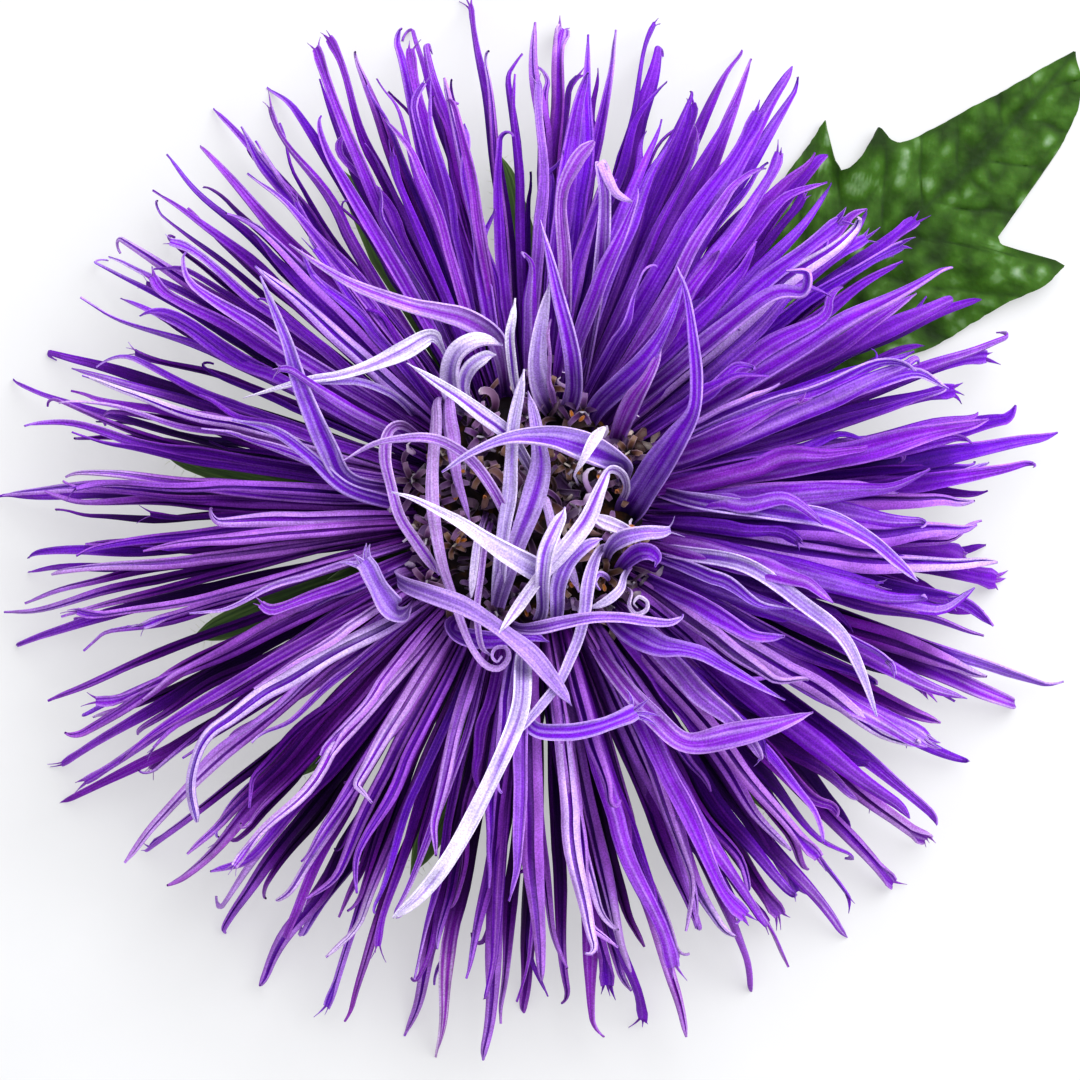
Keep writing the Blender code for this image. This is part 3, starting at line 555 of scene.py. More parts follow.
relief = add_node(tree, "Bump", {"Strength": 0.4, "Distance": 0.12 * MM}, {"Height": grain})
tree.links.new(bract_colour.outputs[2], shader.inputs["Base Color"])
tree.links.new(relief.outputs["Normal"], shader.inputs["Normal"])

cup = raised_circle("involucre_cup", CUP_RINGS, CUP_SIDES)
cup.data.materials.append(stem_skin)
draw = random.Random(BRACT_SEED)
bracts = StripSet()
hair_shape = bmesh.new()
for number in range(LONG_BRACT_COUNT):
    azimuth = math.radians(LONG_BRACT_START + 360 * number / LONG_BRACT_COUNT)
    lift = leaf_lift(azimuth)
    reach_out = LONG_BRACT_REACH * draw.uniform(0.9, 1.03) * (1 - 0.04 * lift)
    if number in FAR_BRACTS:
        reach_out += FAR_BRACT_GAIN
    tip_height = 1.7 + lift + draw.uniform(0.0, 0.6)
    stations = ((5.0, 11.0, 0.45), (12.0, 10.8, 0.5), (0.5 * reach_out + 2, 9.6, 0.8),
                (0.75 * reach_out, 6.2, 1.0), (0.92 * reach_out, tip_height + 1.5, 0.62),
                (reach_out, tip_height, 0.08))
    bend = draw.gauss(0, 0.05)
    knots = [polar(radius, azimuth + bend * (radius / reach_out) ** 2, height + 0.25 * lift)
             for radius, height, _ in stations]
    path = curve_through(knots, 20)
    breadths = [(at, share) for at, (_, _, share) in enumerate(stations)]
    widths = [LONG_BRACT_WIDTH * between(breadths, 5 * at / 20) for at in range(21)]
    bracts.add(path, widths, [38] * 21, [draw.uniform(-8, 8)] * 21, BRACT_THICKNESS, PLAIN_TONE)
    frames = frames_along(path)
    for at in range(6, 20):
        ahead, side, up = frames[at]
        for way in (-1, 1):
            root = path[at] + side * (way * widths[at] * 0.47) + up * (0.12 * widths[at])
            direction = (side * way + ahead * draw.uniform(0.2, 0.9)).normalized()
            add_hair(hair_shape, root, direction, draw.uniform(*BRACT_HAIR_LENGTHS))
for number in range(MIDDLE_BRACT_COUNT):
    azimuth = math.radians(360 * (number + 0.3) / MIDDLE_BRACT_COUNT)
    reach_out = draw.uniform(*MIDDLE_BRACT_REACHES)
    knots = [polar(6.0, azimuth, 11.4), polar(12.6, azimuth, 12.0), polar(0.6 * reach_out + 4, azimuth, 12.4),
             polar(reach_out, azimuth + draw.gauss(0, 0.05), 10.6)]
    path = curve_through(knots, 14)
    widths = [MIDDLE_BRACT_WIDTH * between([(0, 0.7), (7, 1.0), (11, 0.75), (14, 0.08)], at)
              for at in range(15)]
    bracts.add(path, widths, [45] * 15, [0] * 15, BRACT_THICKNESS, PLAIN_TONE)
for count, radius, height, breadth, offset in SHORT_BRACT_ROWS:
    for number in range(count):
        azimuth = math.radians(360 * (number + offset) / count)
        grow = draw.uniform(*SHORT_BRACT_LENGTHS)
        knots = [polar(radius - 1.2, azimuth, height - 0.7), polar(radius + 0.8, azimuth, height + 0.2),
                 polar(radius + 0.55 * grow, azimuth, height + 0.33 * grow),
                 polar(radius + 0.9 * grow, azimuth, height + 0.36 * grow)]
        path = curve_through(knots, 10)
        widths = [breadth * between([(0, 0.8), (4, 1.0), (8, 0.6), (10, 0.08)], at) for at in range(11)]
        bracts.add(path, widths, [-60] * 11, [0] * 11, BRACT_THICKNESS, PLAIN_TONE)
bract_blades = bracts.finish("bract_blades", bract_tissue)
bract_hairs = object_from("bract_hairs", hair_shape, plant_hair)
for piece in (cup, bract_blades):
    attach(piece, "root")
    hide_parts("involucre")
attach(bract_hairs, "root")

# Receptacle: the firm pad that every floret stands on, dull brown and violet from the floret bases
# round it, with the dish of the small florets and the boss of the middle ones in it.
RECEPTACLE_RINGS = [(12.0, 15.0), (12.9, 15.6), (12.9, 16.6), (12.1, 17.6), (11.3, 18.6), (10.2, 19.4),
                    (7.5, 19.8), (3.6, 20.2), (3.1, 20.8), (2.9, 22.8), (2.2, 24.0), (0.9, 24.5)]
RECEPTACLE_SIDES = 56
LUMP_SIZE = 1.3
LUMP_HEIGHT = 0.25
receptacle = raised_circle("receptacle", RECEPTACLE_RINGS, RECEPTACLE_SIDES)
for vertex in receptacle.data.vertices:
    vertex.co.z += LUMP_HEIGHT * MM * noise.noise(vertex.co / (LUMP_SIZE * MM))

# Receptacle flesh: pitted and dark, stained brown and violet between the floret bases.
flesh, tree, shader = new_material("receptacle flesh, pitted", {"Roughness": 0.75})
place = add_node(tree, "TexCoord").outputs["Object"]
pits = add_node(tree, "TexVoronoi", {"Scale": 1 / (0.9 * MM)}, {"Vector": place})
stain = add_node(tree, "TexNoise", {"Scale": 1 / (2.2 * MM), "Detail": 5.0}, {"Vector": place})
browns = add_node(tree, "ValToRGB", {"stops": [
    (0.3, "120814"), (0.45, "1e0e16"), (0.55, "2c180e"), (0.66, "5c360c"), (0.75, "2a122a")]},
    {"Fac": stain})
relief = add_node(tree, "Bump", {"Strength": 0.8, "Distance": 0.4 * MM}, {"Height": pits})
tree.links.new(browns.outputs["Color"], shader.inputs["Base Color"])
tree.links.new(relief.outputs["Normal"], shader.inputs["Normal"])
receptacle.data.materials.append(flesh)
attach(receptacle, "root")
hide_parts("ray_florets")

# Ray florets in their whorls: thin violet tubes split open along their length, so that each is a
# strip rolled up at its edges, pale outside and deep violet in the furrow. Lofted strips on the
# part's own curves, which end where the photo shows tips, and thinner ones between them.

# How the whorls' florets spread, in degrees, how they leave the pad and end, and how far they reach
NEEDLE_KEEL = 0.65
SPACING_SPREAD = 0.25
TIP_SPREAD = 1.26
SWAY_SPREAD = 2.9
RISE_SPREAD = 5.0
FALL_SPREAD = 12.0
ROOT_RUN = 0.40
TIP_RUN = 0.32
HOOK_SHARE = 0.125
HOOK_SIDE = 0.9
HOOK_DROP = 0.4
HOOK_RISE = 0.8
LOCKS = 23
GATHERING = 0.7
REACH = 51.4
REACH_SWING = 2.2
REACH_AZIMUTH = 240.0

# The eye: where the camera stands over the head, and the height at which the photo's scale holds
EYE_X = 1.0
EYE_Y = -3.0
EYE_HEIGHT = 450.0
EYE_FOCUS = 15.0

# Whorls from the lowest to the innermost: count, root radius, root height, angles at the root and
# at the tip, tip height, and the least and most of the reach that their tips take
WHORLS = (
    (38, 11.4, 16.4, 4.0, -44.0, 0.4, 0.97, 1.03),
    (43, 11.2, 17.0, 14.0, -26.0, 8.0, 0.93, 1.02),
    (44, 11.0, 17.6, 25.0, -12.0, 15.5, 0.88, 1.00),
    (38, 10.9, 17.8, 38.0, -2.0, 22.5, 0.76, 0.96),
    (22, 11.0, 17.6, 50.0, 6.0, 28.5, 0.52, 0.80),
)
FILL_WHORLS = (
    (40, 11.2, 16.8, 8.0, -36.0, 3.0, 0.86, 1.00),
    (54, 11.0, 17.3, 19.0, -20.0, 11.0, 0.80, 0.98),
    (60, 11.0, 17.8, 31.0, -8.0, 18.5, 0.66, 0.94),
    (52, 11.2, 18.4, 42.0, 0.0, 22.5, 0.50, 0.86),
)
FLORET_SEED = 29
FILL_SEED = 7
COURSE_SEED = 101

# How far off a free tip of the photo may be, as seen, and how much of the way each knot follows
NEARNESS = 5.0
FILL_NEARNESS = 9.0
FIRST_FOLLOWS = 0.38
SECOND_FOLLOWS = 0.72
SHORT_SHARE = 0.9

# Each floret's line, its hook, its waves in mm, and its thickness
STRIP_STEPS = 24
HOOK_STEPS = 6
HOOK_STEP = 0.38
HOOK_TURNS = (0, 10, 20, 30, 45, 60, 80, 110, 140)
BODY_SHARE = 0.965
WOBBLE = 0.22
WOBBLE_LENGTH = 9.0
TIP_WAVE = 0.2
BOW = 0.45
STRIP_THICKNESS = 0.26
TOOTH_COUNTS = (0, 0, 0, 0, 0, 0, 0, 0, 2, 3)
TOOTH_LENGTHS = (1.0, 2.2)

# Widths, and shares of tubes, of strips curled back and of washed-out ones: the least, and what the
# pale lower left or the wide right adds
PALE_AZIMUTH = 238.0
WIDE_AZIMUTH = -5.0
FLORET_WIDTHS = (1.25, 1.1)
WIDTH_SPREAD = 0.2
FILL_WIDTH_SHARE = 0.8
TUBE_SHARES = (0.05, 0.72)
TUBE_CURLS = (370, 440)
STRAP_SHARES = (0.2, 0.3)
STRAP_CURLS = (40, 110)
WASHED_SHARES = (0.22, 0.5)
HIGHEST_TIP = 24.0

# Painted shade: the head's surface is a dome, and petals are painted darker with their depth under it, most
# at the lower left, away from the light
DOME_HEIGHT = 27.0
DOME_RADIUS = 31.0
DOME_FALL = 20.0
DOME_DEPTH = 14.5
DEEPEST = 0.96
DARK_AZIMUTH = 238.0
LIT_LOSS = 0.42

# Where the longest florets end, read from the photo, as seen and in mm from the head's axis
UPPER_LEFT_TIPS = [(-6.3, 50.8), (-12.2, 48.9), (-10.3, 47.4), (-12.2, 46.7), (-13.4, 47.4),
    (-17.2, 45.2), (-20.5, 47.7), (-21.7, 47), (-21, 42), (-25.3, 42.6), (-26.5, 41), (-31, 40),
    (-28.2, 37.4), (-33.2, 36.5), (-35.8, 34.8), (-37, 32.1), (-37.3, 29.7), (-41.8, 27.6), (-44.2, 25.3),
    (-41.6, 25), (-44.6, 20.5), (-49.2, 16), (-51.6, 12.3), (-45.1, 14), (-48.2, 11.2), (-49.6, 9.1),
    (-42.3, 9), (-52, 1.6), (-53, 1.4), (0.5, 47.7)]
LOWER_LEFT_TIPS = [(-50.1, -4.4), (-50.4, -6.1), (-49.7, -8.7), (-52, -10.6), (-51.8, -13.5),
    (-47.3, -19), (-45, -20.7), (-45.9, -23), (-47.1, -25.9), (-45.1, -27.6), (-46.5, -29.3),
    (-40.4, -34.2), (-38.7, -34.3), (-35.1, -37.4), (-31.3, -40.4), (-31.3, -42.1), (-26.7, -47.2),
    (-25.1, -43.6), (-23, -43.3), (-20.6, -50.5), (-18.2, -50.5), (-15.8, -44.3), (-13.7, -40.9),
    (-11.9, -51.9), (-11, -47.6), (-9.4, -54.3), (-4.3, -54.7), (-2.6, -50.3), (-0.5, -50)]
LOWER_RIGHT_TIPS = [(6.2, -52.2), (7.9, -48.3), (11.5, -51.5), (15.8, -51.9), (14.9, -44.8),
    (22.7, -48.1), (25.4, -44.8), (31.3, -42.6), (32.2, -39), (36.5, -37.8), (40.1, -33.3), (40.9, -30.5),
    (43.5, -25.5), (48.9, -19.5), (44.9, -16.3), (52.3, -17.5), (47, -7.1)]
UPPER_RIGHT_TIPS = [(3.1, 48.6), (6.2, 46.5), (8.9, 46.9), (12.7, 49.6), (13, 47), (21, 45.8),
    (21.8, 44.1), (25.4, 43.8), (26.8, 42.4), (29.4, 35.5), (32.5, 29.7), (33.4, 28.6), (38.7, 29.1),
    (36.5, 24.5), (41.6, 24.3), (42, 21.2), (44.6, 20.9), (48.2, 17.6), (46.4, 15.9), (43, 12.3),
    (47.8, 9), (51.8, 7.3), (50.7, 4.7), (44.4, 4.3), (44, -2.4)]


def from_above(point):
    """The place, at its height, of a point seen from the eye above the head."""
    x, y, height = point
    shrink = (EYE_HEIGHT - height) / (EYE_HEIGHT - EYE_FOCUS)
    return Vector((EYE_X + (x - EYE_X) * shrink, EYE_Y + (y - EYE_Y) * shrink, height))


def reach(azimuth):
    """How far from the axis the tips reach, as seen from above, at an azimuth in radians."""
    return REACH + REACH_SWING * math.cos(azimuth - math.radians(REACH_AZIMUTH))


def whorl_florets(seed, whorls):
    """The florets of some whorls, each as the four knots of a Bezier and the hook of its tip."""
    draw = random.Random(seed)
    florets = []
    for whorl, (count, root_radius, root_height, rise, fall, tip_height, least, most) in enumerate(whorls):
        turn = draw.uniform(0, math.tau)
        for number in range(count):
            place = number + draw.uniform(-SPACING_SPREAD, SPACING_SPREAD)
            azimuth = turn + math.tau * place / count
            lean = GATHERING * math.sin(LOCKS * azimuth) + draw.gauss(0, TIP_SPREAD)
            end = azimuth + math.radians(lean)
            seen = draw.uniform(least, most) * reach(end)
            height = tip_height + draw.gauss(0, 0.5 + 0.11 * tip_height) + leaf_lift(end)
            tip = from_above((seen * math.cos(end), seen * math.sin(end), max(height, 0.0)))
            root = polar(root_radius, azimuth, root_height)
            length = (tip - root).length
            leave = math.radians(rise + draw.uniform(-RISE_SPREAD, RISE_SPREAD))
            arrive = math.radians(fall + draw.uniform(-FALL_SPREAD, FALL_SPREAD))
            sway = azimuth + math.radians(draw.gauss(0, SWAY_SPREAD))
            first = root + polar(math.cos(leave), azimuth, math.sin(leave)) * (ROOT_RUN * length)
            second = tip - polar(math.cos(arrive), sway, math.sin(arrive)) * (TIP_RUN * length)
            hook = Vector((draw.gauss(0, HOOK_SIDE), draw.gauss(0, HOOK_SIDE),
                           draw.uniform(-HOOK_DROP, HOOK_RISE)))
            width = draw.uniform(0.85, 1.1)
            florets.append((root, first, second, tip, hook, width, end, whorl))
    return florets


def as_seen(point):
    """The place on the plane of the photo where the eye above the head sees a point."""
    grow = (EYE_HEIGHT - EYE_FOCUS) / (EYE_HEIGHT - point.z)
    return Vector((EYE_X + (point.x - EYE_X) * grow, EYE_Y + (point.y - EYE_Y) * grow))


def led_to_tip(floret, free_tips, nearness):
    """A floret led to the nearest free tip of the photo, taken off the list, or shorter if none is near."""
    root, first, second, tip, hook, width, end, whorl = floret
    seen = as_seen(tip)
    nearest = min(free_tips, key=lambda place: (place - seen).length, default=None)
    if nearest is not None and (nearest - seen).length < nearness:
        free_tips.remove(nearest)
        moved = from_above((nearest.x, nearest.y, tip.z))
        first = first.lerp(first + moved - tip, FIRST_FOLLOWS)
        second = second.lerp(second + moved - tip, SECOND_FOLLOWS)
        return root, first, second, moved, hook * 0.3, width, end, whorl
    if seen.length > 0.92 * reach(end):
        moved = root.lerp(tip, SHORT_SHARE)
        moved.z = tip.z
        second = second + (moved - tip) * 0.7
        return root, first, second, moved, hook, width, end, whorl
    return floret


def hooked(points, turn, draw):
    """The path with its last few steps bent round into a small hook, by the whole turn in degrees."""
    ahead, side, up = frames_along(points)[-1]
    around = draw.gauss(0, 0.45)
    axis = side * math.cos(around) + up * math.sin(around)
    bend = Matrix.Rotation(math.radians(turn) / HOOK_STEPS, 3, axis)
    longer = list(points)
    for _ in range(HOOK_STEPS):
        ahead = bend @ ahead
        longer.append(longer[-1] + ahead * HOOK_STEP)
    return longer


def strip_path(floret, draw):
    """Points along a whorl floret, uneven as a living one is, hooked at its end, kept off the table."""
    root, first, second, tip, hook, _, _, _ = floret
    points = []
    offset = Vector((draw.uniform(0, 50), draw.uniform(0, 50), draw.uniform(0, 50)))
    level = (tip - root).cross(Vector((0, 0, 1))).normalized()
    wave = level * draw.gauss(0, TIP_WAVE) + Vector((0, 0, draw.gauss(0, 0.5 * TIP_WAVE)))
    bow = level * draw.gauss(0, BOW)
    for number in range(STRIP_STEPS + 1):
        t = BODY_SHARE * (1 - (1 - number / STRIP_STEPS) ** 1.25)
        u = 1 - t
        point = root * u ** 3 + first * (3 * u * u * t) + second * (3 * u * t * t) + tip * t ** 3
        point += hook * max(0.0, 1 - u / HOOK_SHARE) ** 2
        point += bow * math.sin(math.pi * t) + wave * math.sin(math.tau * clamp((t - 0.55) / 0.45))
        point += noise.noise_vector(point / WOBBLE_LENGTH + offset) * (WOBBLE * smooth(t / 0.3))
        point.z = max(point.z, NEEDLE_KEEL)
        points.append(point)
    return hooked(points, draw.choice((1, -1)) * draw.choice(HOOK_TURNS), draw)


def tooth(strips, base, ahead, side, up, turn, length, breadth, lift, tone, bleach):
    """One small lobe at the end of a floret, bending away from its line."""
    path = []
    for at in range(5):
        share = at / 4
        swing = math.radians(turn) * (0.5 + share)
        heading = ahead * math.cos(swing) + side * math.sin(swing) + up * (lift * share)
        path.append(base if at == 0 else path[-1] + heading.normalized() * (length / 4))
    widths = [breadth * k for k in (1.0, 1.0, 0.8, 0.5, 0.15)]
    strips.add(path, widths, [50] * 5, [0] * 5, 0.7 * STRIP_THICKNESS, tone, 0.0, bleach)


def shade_at(point):
    """Painted shade: how much a petal's colour is darkened where it lies under the head's own surface, out of
    the light, most at the lower left.
    """
    radius = math.hypot(point.x, point.y)
    surface = DOME_HEIGHT * (1 - clamp((radius - DOME_RADIUS) / DOME_FALL) ** 2)
    off = math.atan2(point.y, point.x) - math.radians(DARK_AZIMUTH)
    lit = 1 - (0.5 + 0.5 * math.cos(off)) ** 0.8
    return 1 - (DEEPEST - LIT_LOSS * lit) * smooth((surface - point.z) / DOME_DEPTH)


def add_floret(strips, path, widths, curl, lean, roll, twist, teeth, tone, bleach, draw):
    """A ray floret on its path: a tube at its root, open along its length, ending blunt or in teeth."""
    last = len(path) - 1
    run = [0.0]
    for near, far in zip(path, path[1:]):
        run.append(run[-1] + (far - near).length)
    breadths, curls, rolls = [], [], []
    for at in range(last + 1):
        share = run[at] / run[-1]
        left = run[-1] - run[at]
        flare = 1 + 0.5 * smooth(1 - left / 3.5) - 0.3 * smooth(1 - left / 1.0)
        blunt = 0.3 + 0.7 * clamp(left / 1.2) ** 0.6
        uneven = noise.noise(path[at] / 6.0 + Vector((lean * 31 + curl, 0, 0)))
        breadths.append(widths[at] * (flare if teeth else blunt) * (1 + 0.14 * uneven))
        opened = curl + (max(curl, 190) - curl) * (1 - smooth(share / 0.2)) + 30 * uneven
        curls.append(clamp(opened * (1 - 0.5 * smooth(1 - left / 4.0)) if teeth else opened, -150, 440))
        rolls.append(roll + twist * share * share)
    # Painted shade at each point of the floret, from its depth under the head
    shades = [shade_at(point) for point in path]
    strips.add(path, breadths, curls, rolls, STRIP_THICKNESS, tone, lean, bleach, shades)
    if not teeth:
        return
    ahead, side, up = frames_along(path)[-1]
    turn = math.radians(rolls[-1])
    across_way = side * math.cos(turn) + up * math.sin(turn)
    up_way = up * math.cos(turn) - side * math.sin(turn)
    for number in range(teeth):
        place = (number + 0.5) / teeth * 2 - 1
        base = path[-1] - ahead * 0.35 + across_way * (place * 0.3 * breadths[-1])
        spread = 70 if teeth > 3 else 30
        tooth(strips, base, ahead, across_way, up_way, spread * place + draw.uniform(-20, 20),
              draw.uniform(*TOOTH_LENGTHS) * (1.3 if teeth > 3 else 1.0),
              widths[-1] * draw.uniform(0.34, 0.5), draw.uniform(-0.5, 1.2), tone, bleach)


def paleness(azimuth):
    """How much of the pale back shows, from 0 on the right to 1 at the lower left."""
    return 0.5 + 0.5 * math.cos(azimuth - math.radians(PALE_AZIMUTH))


# Petal skin: velvety cells, deep violet on the face, pale lilac on the back, with fine veins along
# it. The edges look palest, their own paler colour with a painted highlight and the painted glow of
# the light that the thin edges pass, and the keels and vein ridges carry painted highlights too. The
# roots are dark and reddish, partly their own colour and partly painted shade. The petals also take
# the painted shade of their depth under the head. The cells are really 0.04 mm wide, and drawn four
# times as coarse so that they show.
CELL_SIZE = 0.17
KEEL_SPACING = 0.11

# Stretch over the strip's map, and detail, of its veins, clouds, furrow grain and wandering keels
FLORET_PATTERNS = (((18.0, 0.9, 1.0), 2.0), ((2.0, 2.6, 1.0), 2.0), ((3.0, 0.7, 1.0), 1.0),
                   ((0.0, 0.35, 1.0), 0.0))
petal_skin, tree, shader = new_material("petal skin, violet ray floret", {
    "Roughness": 0.5, "IOR": 1.4, "Specular IOR Level": 0.13,
    "Sheen Weight": 0.03, "Sheen Roughness": 0.4, "Sheen Tint": hex_colour("cbb0f6")})
strip_map = add_node(tree, "UVMap", {"uv_map": "strip"})
face, rim, run_share, bleach = (add_node(tree, "Attribute", {"attribute_name": name}).outputs["Fac"]
                                for name in ("face", "rim", "run", "bleach"))
tone = add_node(tree, "Attribute", {"attribute_name": "tone"}).outputs["Vector"]
paler, rosier, lighter = add_node(tree, "SeparateXYZ", {}, {"Vector": tone}).outputs
patterns = []
for stretch, detail in FLORET_PATTERNS:
    stretched = add_node(tree, "Mapping", {"Scale": stretch}, {"Vector": strip_map})
    patterns.append(add_node(tree, "TexNoise", {"Scale": 1.0, "Detail": detail}, {"Vector": stretched}))
vein_grain, cloudy, groove_grain, drift = patterns
# Along each strip from root to tip: the dark reddish root is partly its own colour and partly painted shade
# down by the disc
along_face = add_node(tree, "ValToRGB", {"stops": [
    (0.0, "3e0a5a"), (0.22, "600fa0"), (0.6, "7e1cd4"), (1.0, "7c28d4")]}, {"Fac": run_share})
along_back = add_node(tree, "ValToRGB", {"stops": [
    (0.0, "54106c"), (0.22, "9036c4"), (0.55, "b464ee"), (1.0, "ac66f2")]}, {"Fac": run_share})
pale_back = add_node(tree, "Mix", {"data_type": "RGBA", 7: hex_colour("ead8fc")}, {0: paler, 6: along_back})
toward_tip = add_node(tree, "MapRange", {"From Min": 0.1, "From Max": 0.7, "To Min": 0.3, "To Max": 1.0},
                      {"Value": run_share})
groove_side = add_node(tree, "Math", {"operation": "MULTIPLY_ADD", 1: 1.3}, {0: groove_grain, 2: rim})
groove = add_node(tree, "MapRange", {"From Min": 0.72, "From Max": 0.98, "To Min": 0.1, "To Max": 1.0},
                  {"Value": groove_side})
open_part = add_node(tree, "Math", {"operation": "MULTIPLY"}, {0: toward_tip, 1: groove})
bleaching = add_node(tree, "Math", {"operation": "MULTIPLY"}, {0: bleach, 1: open_part})
pale_face = add_node(tree, "Mix", {"data_type": "RGBA", 7: hex_colour("e2d8f6")},
                     {0: bleaching, 6: along_face})
two_faces = add_node(tree, "Mix", {"data_type": "RGBA"}, {0: face, 6: pale_face, 7: pale_back})
# Palest at the edges: the margins' own paler colour with a painted highlight and the painted glow of light
# through the thin edge
near_rim = add_node(tree, "Math", {"operation": "POWER", 1: 3.8}, {0: rim})
margin_and_highlight_strength = add_node(tree, "Math", {"operation": "MULTIPLY_ADD", 1: 0.56, 2: 0.35}, {0: paler})
rim_share = add_node(tree, "Math", {"operation": "MULTIPLY"}, {0: near_rim, 1: margin_and_highlight_strength})
margin_and_highlight_colour = add_node(tree, "Mix", {"data_type": "RGBA", 6: hex_colour("be98f0"), 7: hex_colour("f2ecfe")},
                      {0: paler})
rimmed = add_node(tree, "Mix", {"data_type": "RGBA"}, {0: rim_share, 6: two_faces, 7: margin_and_highlight_colour})
rosy = add_node(tree, "Mix", {"data_type": "RGBA", 7: hex_colour("a03ab0")}, {0: rosier, 6: rimmed})
lines = add_node(tree, "MapRange", {"From Min": 0.5, "From Max": 0.66, "To Min": 0.0, "To Max": 0.32},
                 {"Value": vein_grain})
dark_lined = add_node(tree, "Mix", {"data_type": "RGBA", 7: hex_colour("4c0f98")}, {0: lines, 6: rosy})
# Painted highlights along the vein ridges, in the same pale colour
ridge_highlights = add_node(tree, "MapRange", {"From Min": 0.47, "From Max": 0.34, "To Min": 0.0, "To Max": 0.2},
                  {"Value": vein_grain})
lined = add_node(tree, "Mix", {"data_type": "RGBA"}, {0: ridge_highlights, 6: dark_lined, 7: margin_and_highlight_colour})
uv_split = add_node(tree, "SeparateXYZ", {}, {"Vector": strip_map})
drifted = add_node(tree, "Math", {"operation": "MULTIPLY_ADD", 1: 0.5}, {0: drift, 2: uv_split.outputs["X"]})
# Painted highlights along the wandering keels, where light catches the folds
keels = add_node(tree, "Math", {"operation": "PINGPONG", 1: KEEL_SPACING}, {0: drifted})
keel = add_node(tree, "MapRange", {"interpolation_type": "SMOOTHSTEP", "From Min": 0.4 * KEEL_SPACING,
                                   "From Max": KEEL_SPACING}, {"Value": keels})
keel_highlight_strength = add_node(tree, "Math", {"operation": "MULTIPLY_ADD", 1: 0.36, 2: 0.2}, {0: paler})
keel_highlight_share = add_node(tree, "Math", {"operation": "MULTIPLY"}, {0: keel, 1: keel_highlight_strength})
keel_highlighted = add_node(tree, "Mix", {"data_type": "RGBA"}, {0: keel_highlight_share, 6: lined, 7: margin_and_highlight_colour})
patches = add_node(tree, "MapRange", {"From Min": 0.3, "From Max": 0.7, "To Min": 0.78, "To Max": 1.2},
                   {"Value": cloudy})
place = add_node(tree, "TexCoord").outputs["Object"]
cell_grain = add_node(tree, "TexNoise", {"Scale": 1 / (CELL_SIZE * MM), "Detail": 1.0}, {"Vector": place})
cells = add_node(tree, "MapRange", {"From Min": 0.3, "From Max": 0.7, "To Min": 0.78, "To Max": 1.22},
                 {"Value": cell_grain})
mottled = add_node(tree, "Math", {"operation": "MULTIPLY"}, {0: patches, 1: cells})
# Painted shade: the tone's brightness, which carries each petal's depth under the head, tints the colour
# towards deep violet
painted_shade_tint = add_node(tree, "ValToRGB", {"stops": [
    (0.0, "340c3c"), (0.35, "86309c"), (0.7, "d2a2e6"), (1.0, "ffffff")]}, {"Fac": lighter})
painted_shaded = add_node(tree, "Mix", {"data_type": "RGBA", "blend_type": "MULTIPLY", 0: 1.0},
                    {6: keel_highlighted, 7: painted_shade_tint})
petal_colour = add_node(tree, "VectorMath", {"operation": "SCALE"}, {0: painted_shaded, "Scale": mottled})
height = add_node(tree, "Math", {"operation": "MULTIPLY_ADD", 1: 0.8}, {0: keel, 2: vein_grain})
relief = add_node(tree, "Bump", {"Strength": 0.5, "Distance": 0.14 * MM}, {"Height": height})
tree.links.new(petal_colour.outputs["Vector"], shader.inputs["Base Color"])
tree.links.new(relief.outputs["Normal"], shader.inputs["Normal"])

